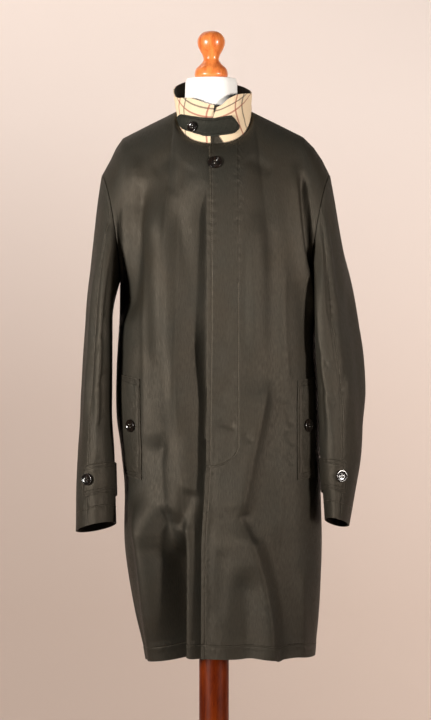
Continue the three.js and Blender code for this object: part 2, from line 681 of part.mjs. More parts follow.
// The collar's outer face at a bearing in degrees, h from the neckline to the rim.
function collarPoint(bearing, h, tucked = 0) {
  const a = THREE.MathUtils.degToRad(bearing);
  const [sine, cosine] = [Math.sin(a), Math.cos(a)];
  const neck = neckPoint(cosine < 0 ? 'back' : 'front', cosine < 0 ? Math.PI - a : a);
  const { out, up } = COLLAR_SEAT;
  const foot = V(neck.x - out * sine, neck.y + out * cosine, neck.z + up);
  const rim = V(COLLAR_TOP.x + COLLAR_TOP.width * sine, COLLAR_TOP.y - COLLAR_TOP.depth * cosine,
    read(COLLAR_RIM, 'bearing', 'z', bearing));
  const point = foot.lerp(rim, h);
  return point.add(V(-tucked * sine, tucked * cosine, 0));
}

function collarPly(lift) {
  const [rows, columns] = GRID.collar;
  const grid = makeGrid(rows, columns, (u, h) => {
    const from = read(LEAF_EDGE, 'h', 'left', h);
    const to = read(LEAF_EDGE, 'h', 'right', h);
    const bearing = mix(from, to, u);
    const tucked = LEAF_TUCK.depth * smooth((bearing - LEAF_TUCK.from) / LEAF_TUCK.over);
    return collarPoint(bearing, h, tucked);
  });
  return clothWall(grid, place(COLLAR_MIDDLE), COLLAR_CLOTH, lift);
}

addPiece('collar_under', collarPly(0), MATERIAL.check);
addPiece('collar_top', collarPly(-COLLAR_CLOTH - SEAM), MATERIAL.gabardine);

// The collar's outer face at a bearing and a height in millimetres.
function collarAt(bearing, z) {
  const turn = (bearing + 360) % 360;
  const wide = turn > 180 ? turn : bearing;
  const [foot, rim] = [collarPoint(wide, 0), collarPoint(wide, 1)];
  const h = (z - foot.z) / (rim.z - foot.z);
  return collarPoint(wide, h);
}

function throatStrap() {
  const grid = makeGrid(...GRID.throatStrap, (u, v) => {
    const bearing = mix(THROAT_STRAP[0].bearing, THROAT_STRAP.at(-1).bearing, u);
    const low = readStraight(THROAT_STRAP, 'bearing', 'low', bearing);
    const high = readStraight(THROAT_STRAP, 'bearing', 'high', bearing);
    return collarAt(bearing, mix(low, high, v));
  });
  return clothWall(grid, place(COLLAR_MIDDLE), TRIM, TRIM + 2 * SEAM);
}

addPiece('throat_strap', throatStrap(), MATERIAL.strap);

// ---------------------------------------------------------------- welts and cuff straps

// The front panel's share u at which the body has the asked x, below the underarm.
function shareAt(piece, side, x, z) {
  let [low, high] = [0, 1];
  for (let step = 0; step < HALVINGS; step += 1) {
    const middle = (low + high) / 2;
    if (side * lowerPoint(piece, side, middle, z).x < side * x) low = middle;
    else high = middle;
  }
  return low;
}

function welt(sideName) {
  const { z0, z1, seam0, seam1, edge0, edge1, slant } = WELT[sideName];
  const side = sideOf(sideName);
  const piece = `front_${sideName}`;
  const grid = makeGrid(...GRID.welt, (u, v) => {
    const z = mix(z0, z1, v) + slant * u;
    const from = shareAt(piece, side, side * mix(seam0, seam1, v), z);
    const to = shareAt(piece, side, side * mix(edge0, edge1, v), z);
    return lowerPoint(piece, side, mix(from, to, u), z);
  });
  return clothWall(grid, BODY_MIDDLE, TRIM, TRIM + LAID);
}

function cuffStrap(sideName) {
  const { z, tip, shoulder, root } = CUFF_STRAP[sideName];
  const middle = z + CUFF_STRAP_HEIGHT / 2;
  const grid = makeGrid(...GRID.cuffStrap, (u, v) => {
    const s = mix(tip, root, u);
    const spread = smooth((s - tip) / (shoulder - tip) + CUFF_STRAP_BLUNTNESS);
    return sleeveRing(sideName, s, middle + (v - 0.5) * CUFF_STRAP_HEIGHT * spread);
  });
  return clothWall(grid, place(CUFF_MIDDLE, sideOf(sideName)), TRIM, TRIM + LAID);
}

for (const side of ['left', 'right']) {
  addPiece(`welt_${side}`, welt(side), MATERIAL.gabardine);
  addPiece(`cuff_strap_${side}`, cuffStrap(side), MATERIAL.gabardine);
}

// ---------------------------------------------------------------- buttons

// A flat button with a raised rim and a dished middle.
function buttonGeometry(radius) {
  const profile = BUTTON_PROFILE.map(({ share, height }) => new THREE.Vector2(share * radius, height));
  return new THREE.LatheGeometry(profile, GRID.button);
}

// Sets a button on a surface given as a function of two places, `lift` over it.
function setButton(name, radius, surface, [a, b], [stepA, stepB], inside, lift) {
  const at = surface(a, b);
  const alongA = surface(a + stepA, b).sub(surface(a - stepA, b));
  const alongB = surface(a, b + stepB).sub(surface(a, b - stepB));
  const normal = alongA.cross(alongB).normalize();
  if (normal.dot(at.clone().sub(inside)) < 0) normal.negate();
  const mesh = addPiece(name, buttonGeometry(radius), MATERIAL.button);
  mesh.quaternion.setFromUnitVectors(V(0, 1, 0), normal);
  mesh.position.copy(at).addScaledVector(normal, lift);
}

// The front's surface at x and z above the underarm, found by steps towards it.
function chestAt(x, z) {
  const { steps, pace, nudge } = CHEST_SEARCH;
  let { u, t } = CHEST_SEARCH;
  const point = (a, b) => upperPoint('front_left', 'left', a, b);
  for (let step = 0; step < steps; step += 1) {
    const p = point(u, t);
    const du = point(u + nudge, t).sub(p).divideScalar(nudge);
    const dt = point(u, t + nudge).sub(p).divideScalar(nudge);
    const det = du.x * dt.z - dt.x * du.z;
    const [ex, ez] = [x - p.x, z - p.z];
    u += (pace * (ex * dt.z - ez * dt.x)) / det;
    t += (pace * (du.x * ez - du.z * ex)) / det;
  }
  return point(u, t);
}

const { length, bearing, share } = TILT_STEP;
setButton('button_top', BUTTON.top.radius, chestAt, [BUTTON.top.x, BUTTON.top.z], [length, length],
  BODY_MIDDLE, BUTTON_LIFT);
setButton('button_throat', BUTTON.throat.radius, collarAt, [BUTTON.throat.bearing, BUTTON.throat.z],
  [bearing, length], place(COLLAR_MIDDLE), TRIM + 2 * SEAM + STRAP_BUTTON_LIFT);
for (const side of ['left', 'right']) {
  const sign = sideOf(side);
  const piece = `front_${side}`;
  const { welt: onWelt, cuff: onCuff } = BUTTON;
  const frontAt = (x, z) => lowerPoint(piece, sign, shareAt(piece, sign, x, z), z);
  setButton(`button_welt_${side}`, onWelt.radius, frontAt, [onWelt.x[side], onWelt.z], [length, length],
    BODY_MIDDLE, TRIM + LAID + BUTTON_LIFT);
  const cuffAt = (s, z) => sleeveRing(side, s, z);
  setButton(`button_cuff_${side}`, onCuff.radius, cuffAt, [onCuff.s[side], onCuff.z[side]],
    [share, length], place(CUFF_MIDDLE, sign), TRIM + LAID + BUTTON_LIFT);
}

// ---------------------------------------------------------------- the form and its stand

// The torso's ridge lies just under the coat's shoulder seams and carries them.
function formRows() {
  const seam = SHOULDER.left;
  const fall = (seam[0].z - seam[2].z) / (seam[2].reach - seam[0].reach);
  const under = (CLOTH + 2 * SEAM) * Math.hypot(1, fall);
  const shoulders = FORM_SHOULDERS.map(({ z, depth, neck }) => {
    const ridge = seam[0].reach + (seam[0].z - under - z) / fall;
    const width = Math.min(ridge, FORM_SHOULDER_REACH);
    return { z, x: 0, width, front: depth, back: depth, neck, power: FORM_SHOULDER_POWER };
  });
  return [...FORM, ...shoulders, ...FORM_NECK];
}

function loft(rows, sides) {
  const rings = rows.map(({ z, x, width, front, back, neck = 0, power = 2 }) =>
    Array.from({ length: sides }, (_, k) => {
      const angle = (k / sides) * 2 * Math.PI;
      const across = width * signedPower(Math.cos(angle), 2 / power);
      const sine = Math.abs(Math.sin(angle)) < 1e-9 ? 0 : Math.sin(angle);
      const bump = neck * Math.exp(-((across / NECK_SPREAD) ** 2));
      const deep = (sine < 0 ? front : back) * Math.abs(sine) ** (2 / power) + bump * Math.abs(sine);
      return V(x + across, Math.sign(sine) * deep, z);
    }),
  );
  const position = rings.flat().flatMap((p) => [p.x, p.y, p.z]);
  const index = [];
  for (let i = 0; i < rings.length - 1; i += 1) {
    for (let k = 0; k < sides; k += 1) {
      const next = (k + 1) % sides;
      const [a, b] = [i * sides + k, i * sides + next];
      index.push(a, b, b + sides, a, b + sides, a + sides);
    }
  }
  const [bottom, top] = [rows[0], rows[rows.length - 1]];
  const bottomIndex = rings.length * sides;
  position.push(bottom.x, 0, bottom.z, top.x, 0, top.z);
  for (let k = 0; k < sides; k += 1) {
    const next = (k + 1) % sides;
    const last = (rings.length - 1) * sides;
    index.push(bottomIndex, next, k, bottomIndex + 1, last + k, last + next);
  }
  const geometry = new THREE.BufferGeometry();
  geometry.setAttribute('position', new THREE.Float32BufferAttribute(position, 3));
  geometry.setIndex(index);
  geometry.computeVertexNormals();
  return geometry;
}

// A turned piece standing on z = 0 of its own.
function turned(profile) {
  const top = profile[profile.length - 1][1];
  const points = [[0, 0], ...profile, [0, top]].map(([r, y]) => new THREE.Vector2(r, y));
  return new THREE.LatheGeometry(points, GRID.round).rotateX(Math.PI / 2);
}

addPiece('form_torso', loft(formRows(), GRID.round), MATERIAL.jersey);
addPiece('finial', turned(FINIAL), MATERIAL.finial).position.set(NECK_X, 0, NECK_TOP_Z + SEAM);

const poleLength = FORM_BOTTOM_Z - BASE_HEIGHT - 2 * SEAM;
addPiece('pole', turned([[POLE_RADIUS, 0], [POLE_RADIUS, poleLength]]), MATERIAL.pole)
  .position.set(0, 0, BASE_HEIGHT + SEAM);
addPiece('base', turned(BASE_PROFILE), MATERIAL.pole);

export default group;
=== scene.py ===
"""A knee-length overcoat on a limbless dress form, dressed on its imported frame.

Sizes are in millimetres until a mesh is made, and +Z is up, -Y the coat's front, +X the wearer's left.
"""

from functools import partial

import bpy
import numpy as np
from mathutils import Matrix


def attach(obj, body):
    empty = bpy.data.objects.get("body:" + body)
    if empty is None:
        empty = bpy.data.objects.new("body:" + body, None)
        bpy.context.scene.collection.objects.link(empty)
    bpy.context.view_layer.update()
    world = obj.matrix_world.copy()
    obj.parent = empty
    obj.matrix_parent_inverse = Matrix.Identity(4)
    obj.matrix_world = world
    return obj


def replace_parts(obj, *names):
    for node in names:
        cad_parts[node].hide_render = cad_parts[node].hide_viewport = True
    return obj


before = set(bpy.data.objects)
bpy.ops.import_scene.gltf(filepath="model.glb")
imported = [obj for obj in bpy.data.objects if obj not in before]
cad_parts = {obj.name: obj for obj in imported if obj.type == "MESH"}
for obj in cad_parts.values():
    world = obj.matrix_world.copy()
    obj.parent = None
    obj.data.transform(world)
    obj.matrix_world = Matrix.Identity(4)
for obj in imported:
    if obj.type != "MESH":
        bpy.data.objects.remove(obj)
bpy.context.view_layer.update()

# ------------------------------------------------------------------ the body's cloth: fronts and back
# A cotton raincoat gabardine: a tight steep twill, olive brown, washed soft, with a dull satin sheen.
# Two fronts and one back are cut flat, sewn at the sides and shoulders, and hang from the form.
# The fly's topstitching, the turned hem and the folds are all in the cloth itself.

MM = 0.001
SIDE = {"left": 1, "right": -1}  # the sign of x on the wearer's two sides
CLOTH = 2.0  # how thick a ply and its lining are together
SEAM = 0.35  # clear gap between sewn pieces
UNDERLAP_EASE = 3.4  # how far the lower front lies under the fly
CHEST_Z = 1165  # the underarm's level
CHEST_SHARE = 2 / 3  # the share of a panel's rows that lies below it
SHOULDER_END_Z = 1363
HEM = {"front": 497, "back": 489, "right": 483, "left": 491}

# The body below the underarm: reach of each side, depths in front and behind, squareness.
BODY = {
    "z": [480, 516, 571, 653, 708, 789, 871, 926, 1010, 1100, 1165],
    "right": [-124, -131, -144, -158, -163, -162, -170, -177, -177, -172, -171],
    "left": [183, 186, 191, 195, 196, 194, 192, 191, 189, 183, 175],
    "front": [146, 147, 148, 150, 151, 152, 151, 150, 147, 143, 140],
    "back": [168, 166, 162, 156, 152, 146, 139, 133, 125, 120, 122],
    "square": [2.1, 2.1, 2.15, 2.2, 2.2, 2.25, 2.3, 2.3, 2.3, 2.3, 2.3],
}
SHOULDER = {
    "right": {
        "reach": [68, 116, 166, 178, 188, 203],
        "z": [1478, 1454.5, 1429, 1411.5, 1390, SHOULDER_END_Z],
    },
    "left": {
        "reach": [68, 116, 162, 182, 197, 210],
        "z": [1478, 1454.5, 1431.5, 1411.5, 1389, SHOULDER_END_Z],
    },
}
NECKLINE = {"width": 68.5, "front": 72, "back": 60, "front_z": 1414, "side_z": 1478, "back_z": 1482}
NECK_SHARE = 0.36
RISE = {
    "front": {
        "u": [0, 0.36, 0.7, 0.8, 0.9, 1],
        "lift": [(0, 4, 88), (0, 3, 88), (1, -3, 72), (0, -14, 60), (-4, -48, 36), (-8, -84, 10)],
        "fall": [
            (0, -42, -40), (8, -62, -22), (8, -68, -22), (2, -72, -24), (-8, -74, -28), (-18, -80, -22),
        ],
    },
    "back": {
        "u": [0, 0.36, 0.7, 0.8, 0.9, 1],
        "lift": [(0, 3, 96), (0, 3, 92), (1, 6, 74), (0, 18, 60), (-4, 50, 38), (-8, 86, 12)],
        "fall": [
            (0, 52, -28), (8, 74, -18), (8, 78, -18), (2, 78, -20), (-8, 80, -24), (-18, 84, -18),
        ],
    },
}
FLY_EDGE = {"z": [497, 707, 831, 1080, 1165], "x": [-23, -22, -14, -11, -11]}
FLY_UNDER_X = 26
NECK_START = {"front_left": -15, "front_right": -20, "back": 0}

# Troughs (minus) and ridges, by x and z of both ends, bow to the right of travel, width on the two
# sides (right of travel, left of travel), depth, and power of the bell across (2 soft, 1.2 sharp).
FRONT_CREASES = [
    # wearer's right front
    (-8, 1350, -8, 985, 0, 32, 6, -15, 1.8),  # it dives in under the fly
    (-8, 1110, -22, 340, 0, 27, 6, -18, 1.4),
    (-72, 1330, -16, 940, 0, 20, 26, -8, 1.8),  # long trough that runs down to the fly
    (-108, 1350, -82, 880, 0, 30, 34, 14, 2),
    (-112, 1270, -112, 985, -3, 18, 18, -4, 2),
    (-126, 1345, -124, 815, 0, 5, 8, 2.2, 1.5),
    (-134, 1356, -164, 1085, 8, 24, 20, -17, 1.8),  # hollow that runs to the underarm
    (-96, 1050, -99, 830, 3, 24, 14, -6, 1.9),
    (-98, 900, -86, 700, -5, 24, 13, -9, 1.8),
    (-84, 770, -112, 668, 0, 15, 16, -8, 1.8),
    (-42, 800, -74, 722, 5, 14, 13, -7, 1.8),
    (-46, 738, -94, 678, 0, 15, 15, 6, 1.8),  # bright knot of folds
    (-60, 760, -67, 280, 0, 54, 7, -60, 2.3),  # pleat whose step runs down to the hem
    (-132, 800, -104, 340, 0, 14, 30, 26, 2),
    (-140, 1400, -152, 1230, 0, 14, 14, 6, 2),
    (-60, 1392, -112, 1362, -4, 13, 16, -1.6, 1.9),
    (-40, 1376, -78, 1320, -4, 14, 16, -1.5, 1.9),
    (-150, 820, -146, 640, 0, 12, 12, 3, 1.8),
    # wearer's left front
    (144, 1392, 186, 1060, -9, 10, 18, 11, 1.6),  # drape that hangs in front of the armhole
    (157, 1372, 178, 1165, -5, 8, 8, -12, 1.7),
    (98, 1000, 42, 725, 0, 34, 12, 12, 1.2),  # long slanting fold
    (116, 1000, 66, 700, 0, 20, 30, -6, 1.7),
    (42, 762, 97, 440, 20, 46, 20, 20, 1.15),  # sharp ridge down to the hem
    (82, 740, 128, 446, 18, 18, 46, -6, 1.9),
    (56, 668, 64, 400, 0, 26, 24, -10, 2),
    (52, 760, 74, 700, 0, 9, 9, -4, 1.6),
    (158, 660, 160, 380, 0, 12, 12, 5, 1.8),
    (122, 830, 112, 660, 0, 8, 5, 2.4, 1.5),
    (128, 1216, 136, 950, -6, 6, 6, 2.2, 1.5),
    (76, 1300, 74, 1010, 0, 18, 18, 5, 2),
    (104, 1280, 108, 960, 0, 15, 15, -4, 2),
    (52, 1260, 50, 1040, 0, 13, 13, -2, 2),
    (2, 917, 42, 904, 1, 5, 7, -3.2, 1.6),
    (50, 896, 68, 880, 0, 5, 6, -2.6, 1.6),
    (38, 1160, 12, 1046, 0, 14, 12, -2.4, 1.9),
    (36, 1010, 6, 940, 0, 12, 12, -2, 1.9),
    (20, 700, 6, 560, 0, 18, 14, -3, 1.9),
    (56, 1388, 104, 1360, 4, 12, 11, -2.2, 1.8),
    (128, 955, 142, 905, 0, 6, 5, -2.2, 1.6),
    (128, 900, 144, 872, 0, 6, 5, -2.2, 1.6),
    (130, 860, 142, 838, 0, 5, 5, -1.8, 1.6),
]
BACK_CREASES = [
    (-70, 1180, -92, 360, 0, 30, 24, 10, 2),
    (-20, 1060, -36, 360, 0, 22, 22, -9, 1.8),
    (30, 1100, 38, 360, 0, 30, 22, 10, 2),
    (90, 1080, 100, 360, 0, 18, 24, -9, 1.8),
    (134, 1000, 148, 360, 0, 16, 20, 7, 2),
    (-128, 1000, -132, 360, 0, 18, 18, -5, 2),
    (-92, 1400, -126, 1215, -6, 13, 10, -5, 1.7),
    (92, 1400, 132, 1205, 6, 11, 14, -5, 1.7),
    (-40, 1410, -72, 1260, 0, 15, 15, -3, 1.8),
    (30, 1418, 48, 1240, 0, 14, 14, -3, 1.8),
    (-130, 1190, -40, 1090, 10, 11, 17, -4.5, 1.6),
    (138, 1190, 60, 1080, -10, 17, 11, -4.5, 1.6),
    (-100, 960, -20, 900, 6, 9, 13, -2.4, 1.7),
    (70, 900, 20, 820, 0, 9, 13, -2.4, 1.7),
    (-152, 1090, -142, 860, 0, 9, 9, -3.4, 1.8),
    (-4, 840, 10, 560, 0, 12, 12, 3, 1.8),
]
# Small lifts of the hem's edge, by x, reach and height.
HEM_LIFTS = [(-58, 9, 6), (-98, 20, -3), (66, 18, 3), (112, 8, -3), (150, 16, 2)]


def curve(places, values, at):
    """Smooth line through (place, value) rows: a cubic between neighbours, whose slope at a row is the
    slope from the row before to the row after."""
    x = np.asarray(places, float)
    y = np.asarray(values, float)
    before = np.maximum(np.arange(len(x)) - 1, 0)
    after = np.minimum(np.arange(len(x)) + 1, len(x) - 1)
    slope = (y[after] - y[before]) / (x[after] - x[before])
    i = np.searchsorted(x[1:-1], at, side="left")
    span = x[i + 1] - x[i]
    t = np.clip((at - x[i]) / span, 0, 1)
    start = y[i] * (1 + 2 * t) * (1 - t) ** 2 + slope[i] * span * t * (1 - t) ** 2
    return start + y[i + 1] * t * t * (3 - 2 * t) - slope[i + 1] * span * t * t * (1 - t)


def read(rows, by, keys, at):
    """Smooth lines through several rows of a table, all read at the same places of one row."""
    return (curve(rows[by], rows[key], at) for key in keys)


def smooth(t):
    """0 up to t = 0, 1 from t = 1, and an even S between."""
    t = np.clip(t, 0, 1)
    return t * t * (3 - 2 * t)


def power(value, exponent):
    """The value's size to a power, with its own sign."""
    return np.sign(value) * np.abs(value) ** exponent


def between(ends, share):
    """The value at a share of the way between two ends."""
    return ends[0] + (ends[-1] - ends[0]) * share


def as_grid(u, v):
    """Both parameters of a surface as arrays of one shape."""
    return np.broadcast_arrays(np.asarray(u, float), np.asarray(v, float))


def points(x, y, z):
    """Three arrays as one array of points."""
    return np.stack(np.broadcast_arrays(x, y, z), -1)


def fly_edge(z):
    """x of the fly's free edge at a height."""
    return np.interp(z, FLY_EDGE["z"], FLY_EDGE["x"])


def level_shape(piece, z):
    """A level of the body: its middle and half its width, its squareness, and the angle at which a
    panel's free edge or middle lies on it."""
    right, left, n = read(BODY, "z", ("right", "left", "square"), z)
    middle, half = (right + left) / 2, (left - right) / 2
    edge = {"front_left": fly_edge(z), "front_right": FLY_UNDER_X, "back": 0.0}[piece]
    return middle, half, n, np.arcsin(power((edge - middle) / half, n / 2))


def body_below(piece, side, u, z):
    """Below the underarm each level is a superellipse with its own reach on four sides. The angle runs
    evenly from the panel's free edge or middle, u = 0, to the side seam, u = 1."""
    face = "back" if piece == "back" else "front"
    front = 1 if face == "back" else -1
    depth = curve(BODY["z"], BODY[face], z)
    middle, half, n, start = level_shape(piece, z)
    angle = start + (side * np.pi / 2 - start) * u
    x = middle + half * power(np.sin(angle), 2 / n)
    return points(x, front * depth * np.abs(np.cos(angle)) ** (2 / n), z)


def neckline(back, bearing):
    """The neckline's ellipse, whose height falls from the neck's side to its front or back."""
    sine, cosine = np.sin(bearing), np.cos(bearing)
    lowest = np.where(back, NECKLINE["back_z"], NECKLINE["front_z"])
    drop = (1 - np.maximum(0, cosine)) ** np.where(back, 1, 1.25)
    y = np.where(back, NECKLINE["back"] * cosine, -NECKLINE["front"] * cosine)
    return points(NECKLINE["width"] * sine, y, lowest + (NECKLINE["side_z"] - lowest) * drop)


def top_edge(piece, side_name, u):
    """A panel's top edge: the neckline up to NECK_SHARE, and then the shoulder seam on straight lines."""
    side = SIDE[side_name]
    rows = SHOULDER[side_name]
    share = (u - NECK_SHARE) / (1 - NECK_SHARE)
    reach = between(rows["reach"], np.clip(share, 0, 1))
    seam = points(side * reach, 0, np.interp(reach, rows["reach"], rows["z"]))
    first = np.arcsin(NECK_START[piece] / NECKLINE["width"])
    bearing = first + (np.pi / 2 - first) * np.clip(u / NECK_SHARE, 0, 1)
    neck = neckline(piece == "back", bearing) * np.array([side, 1, 1])
    return np.where((u > NECK_SHARE)[..., None], seam, neck)


def body_above(piece, side_name, u, t):
    """Above the underarm each column is a Bezier curve from the chest's level, t = 0, to the top edge,
    with handles read from RISE."""
    side = SIDE[side_name]
    rows = RISE["back" if piece == "back" else "front"]
    foot = body_below(piece, side, u, np.full_like(u, CHEST_Z))
    top = top_edge(piece, side_name, u)
    handles = []
    for key in ("lift", "fall"):
        columns = np.array(rows[key], float).T
        x, y, z = (curve(rows["u"], column, u) for column in columns)
        handles.append(points(side * x, y, z))
    t = t[..., None]
    r = 1 - t
    middle = 3 * r * r * t * (foot + handles[0]) + 3 * r * t * t * (top + handles[1])
    return r**3 * foot + middle + t**3 * top


def creases(rows, a, b):
    """Sum of troughs and ridges. Across, each falls off as a bell with a width of its own on each side;
    along, it swells from nothing to its depth and back over a fifth of its length."""
    total = np.zeros(np.broadcast(a, b).shape)
    for a0, b0, a1, b1, bow, right, left, depth, sharpness in rows:
        length = np.hypot(a1 - a0, b1 - b0)
        along_a, along_b = (a1 - a0) / length, (b1 - b0) / length
        t = ((a - a0) * along_a + (b - b0) * along_b) / length
        away = (a - a0) * along_b - (b - b0) * along_a + bow * 4 * t * (1 - t)
        width = np.where(away > 0, right, left)
        bell = np.exp(-((np.abs(away) / width) ** sharpness))
        total += depth * bell * smooth(t / 0.2) * smooth((1 - t) / 0.2)
    return total


def ripple(a, b, size, seed):
    """Slow uneven swell of the cloth: six sine waves of about the given size with their own headings."""
    draw = np.random.default_rng(seed)
    total = 0.0
    for _ in range(6):
        heading, shift, scale = draw.uniform(0, np.pi), draw.uniform(0, 6.28), draw.uniform(0.7, 1.5)
        step = 2 * np.pi / (size * scale)
        total = total + np.sin(step * (a * np.cos(heading) + b * np.sin(heading)) + shift)
    return total / 6


def stitched(distance, along, pitch=15.0, depth=0.5):
    """The cloth beside a line of stitches: a shallow furrow along the thread, and puckers beside it."""
    pucker = np.sin(2 * np.pi * along / pitch + 1.7 * np.sin(along / 31.0))
    return depth * (0.6 * pucker - 0.5) * np.exp(-((distance / 6.0) ** 2))


def nearest_line(*distances):
    """One signed distance for several lines, in millimetres: near each line it is the distance to that
    line, and it has no other zero, so that a material can draw every line from it."""
    total = distances[0]
    for other in distances[1:]:
        total = total * other / (np.abs(total) + np.abs(other) + 1e-6)
    return np.clip(total, -30, 30)


# Lines of topstitching on the fly, by x and z: down from the neck, round a J and out to the edge.
FLY_STITCH_X = 43.5
FLY_STITCH_TURN_Z = 878
FLY_STITCH_END_X, FLY_STITCH_END_Z = -8, 838
EDGE_STITCH = 7.5
HEM_DEPTH = 24


def fly_line():
    """The fly's stitching: straight down at FLY_STITCH_X, then a quarter of an ellipse to the edge."""
    down = np.linspace(1396, FLY_STITCH_TURN_Z, 150)
    turn = np.linspace(0, np.pi / 2, 30)
    reach, drop = FLY_STITCH_X - FLY_STITCH_END_X, FLY_STITCH_TURN_Z - FLY_STITCH_END_Z
    x = np.concatenate([np.full(150, FLY_STITCH_X), reach * np.cos(turn) + FLY_STITCH_END_X])
    z = np.concatenate([down, FLY_STITCH_TURN_Z - drop * np.sin(turn)])
    return x, z


def fly_gap(x, z):
    """Signed distance to the fly's stitching: plain x beside its straight run, and the ellipse's own
    measure round its J, minus on the fly's side."""
    reach, drop = FLY_STITCH_X - FLY_STITCH_END_X, FLY_STITCH_TURN_Z - FLY_STITCH_END_Z
    across, down = (x - FLY_STITCH_END_X) / reach, np.maximum(FLY_STITCH_TURN_Z - z, 0) / drop
    size = np.hypot(across, down)
    slope = np.hypot(across / reach, down / drop) / np.maximum(size, 1e-6)
    return (size - 1) / np.maximum(slope, 1e-6)


def panel_base(piece, side_name, u, v):
    """The undraped panel: v runs from the hem, over the underarm at CHEST_SHARE, to the top edge."""
    u, v = as_grid(u, v)
    side = SIDE[side_name]
    hem = between((HEM["back" if piece == "back" else "front"], HEM[side_name]), smooth(u))
    low = np.clip(v / CHEST_SHARE, -0.02, 1)
    z = hem + (CHEST_Z - hem) * low
    if piece != "back":
        x = body_below(piece, side, u, z)[..., 0]
        for middle, reach, height in HEM_LIFTS:
            z = z + height * np.exp(-(((x - middle) / reach) ** 2)) * np.clip(1 - low * 4, 0, 1) ** 2
    below = body_below(piece, side, u, z)
    above = body_above(piece, side_name, u, np.clip((v - CHEST_SHARE) / (1 - CHEST_SHARE), 0, 1.01))
    point = np.where((v <= CHEST_SHARE)[..., None], below, above)
    return point + np.array([0, (SEAM if piece == "back" else -SEAM) / 2, 0])


def normals_of(surface, u, v, inside):
    """Unit normals of a surface function by small steps of both parameters, away from a point inside."""
    step = 1e-3
    across = surface(u + step, v) - surface(u - step, v)
    up = surface(u, v + step) - surface(u, v - step)
    normal = np.cross(across, up)
    normal /= np.linalg.norm(normal, axis=-1, keepdims=True)
    facing = np.sum(normal * (surface(u, v) - np.array(inside)))
    return normal * np.sign(facing)


BODY_MIDDLE = (5, 0, 1000)


def above_hem(piece, v):
    """How high over its hem a row of a panel lies."""
    return (v / CHEST_SHARE) * (CHEST_Z - HEM["back" if piece == "back" else "front"])


def panel_drape(piece, side_name, u, v, point):
    """How far the cloth stands out of the undraped panel: creases, swell, stitching and thick edges,
    all calm at the sewn edges."""
    x, z = point[..., 0], point[..., 2]
    back = piece == "back"
    sewn = smooth((1 - u) / 0.1) * np.where(u > NECK_SHARE, smooth((1 - v) / 0.06), 1)
    sewn = sewn * smooth((1.0 - v) / 0.03)
    out = creases(BACK_CREASES if back else FRONT_CREASES, x, z)
    out = out + 0.9 * ripple(x, z * 0.35, 70, 3 if back else 5)
    out = out + 0.22 * ripple(x, z * 0.5, 19, 7 if back else 9)
    if piece == "front_left":
        over = smooth((x - fly_edge(z) - 8) / 26)
        out = np.where(out < 0, out * over, out)
    if piece == "front_right":
        under = smooth((x - fly_edge(z) + 3) / 20)
        out = out * (1 - under) + np.minimum(out, 0) * under * 0.3 - (CLOTH + UNDERLAP_EASE) * under
        sewn = np.where(u < 0.5, 1, sewn)
    out = out * sewn
    level = above_hem(piece, v)
    out = out + stitched(level - HEM_DEPTH, x, depth=0.45) + 0.5 * smooth((HEM_DEPTH - level) / 3)
    if piece == "front_left":
        edge = x - fly_edge(z)
        out = out + stitched(edge - EDGE_STITCH, z) + 0.5 * smooth((EDGE_STITCH - edge) / 3)
        out = out + stitched(fly_gap(x, z), z, pitch=17.0, depth=0.5)
    return out


def panel_stitches(piece, u, v, point):
    """Signed distance to the nearest line of topstitching: the hem's, and the fly's two."""
    x, z = point[..., 0], point[..., 2]
    lines = [above_hem(piece, v) - HEM_DEPTH]
    if piece == "front_left":
        lines.append(x - fly_edge(z) - EDGE_STITCH)
        lines.append(fly_gap(x, z))
    return nearest_line(*lines)


def panel(piece, side_name, u, v):
    """The draped panel and its normals: the base moved out along its own normal."""
    u, v = as_grid(u, v)
    base = partial(panel_base, piece, side_name)
    point = base(u, v)
    normal = normals_of(base, u, v, BODY_MIDDLE)
    return point + normal * panel_drape(piece, side_name, u, v, point)[..., None], normal


ARMHOLE_MIDDLE = np.array([0, 0, (CHEST_Z + SHOULDER_END_Z) / 2])


def grid_normals(grid, inside):
    """Normals of a grid of points from its neighbours, and +1 or -1 for the way its faces turn."""
    across = np.gradient(grid, axis=1)
    up = np.gradient(grid, axis=0)
    normal = np.cross(across, up)
    normal /= np.maximum(np.linalg.norm(normal, axis=-1, keepdims=True), 1e-12)
    turn = np.sign(np.sum(normal * (grid - np.array(inside))))
    return normal * turn, turn


def flat_lengths(grid):
    """Where each point lay in the flat cut, in metres: lengths along its row and up its column."""
    across = np.linalg.norm(np.diff(grid, axis=1), axis=-1)
    up = np.linalg.norm(np.diff(grid, axis=0), axis=-1)
    s = np.pad(np.cumsum(across, 1), ((0, 0), (1, 0)))
    t = np.pad(np.cumsum(up, 0), ((1, 0), (0, 0)))
    return np.stack([s, t], -1) * MM


def grid_faces(rows, columns, first=0, turn=1):
    """Four-cornered faces of a grid whose points are numbered row by row from the first."""
    i, j = np.meshgrid(np.arange(rows - 1), np.arange(columns - 1), indexing="ij")
    a = first + i * columns + j
    quads = np.stack([a, a + 1, a + columns + 1, a + columns], -1).reshape(-1, 4)
    return quads if turn > 0 else quads[:, ::-1]


def ring_faces(rows, sides, first=0):
    """Four-cornered faces of a stack of closed rings, numbered ring by ring from the first point."""
    i, j = np.meshgrid(np.arange(rows - 1), np.arange(sides), indexing="ij")
    a, b = first + i * sides + j, first + i * sides + (j + 1) % sides
    return np.stack([a, b, b + sides, a + sides], -1).reshape(-1, 4)


def rim_faces(rows, columns, turn):
    """The narrow faces that close a shell all round, between its outer grid and its inner one."""
    i, j = np.arange(rows), np.arange(columns)
    loop = np.concatenate([
        j[:-1], i[:-1] * columns + columns - 1, (rows - 1) * columns + j[:0:-1], i[:0:-1] * columns,
    ])
    after = np.roll(loop, -1)
    inner = rows * columns
    quads = np.stack([after, loop, loop + inner, after + inner], -1)
    return quads if turn > 0 else quads[:, ::-1]


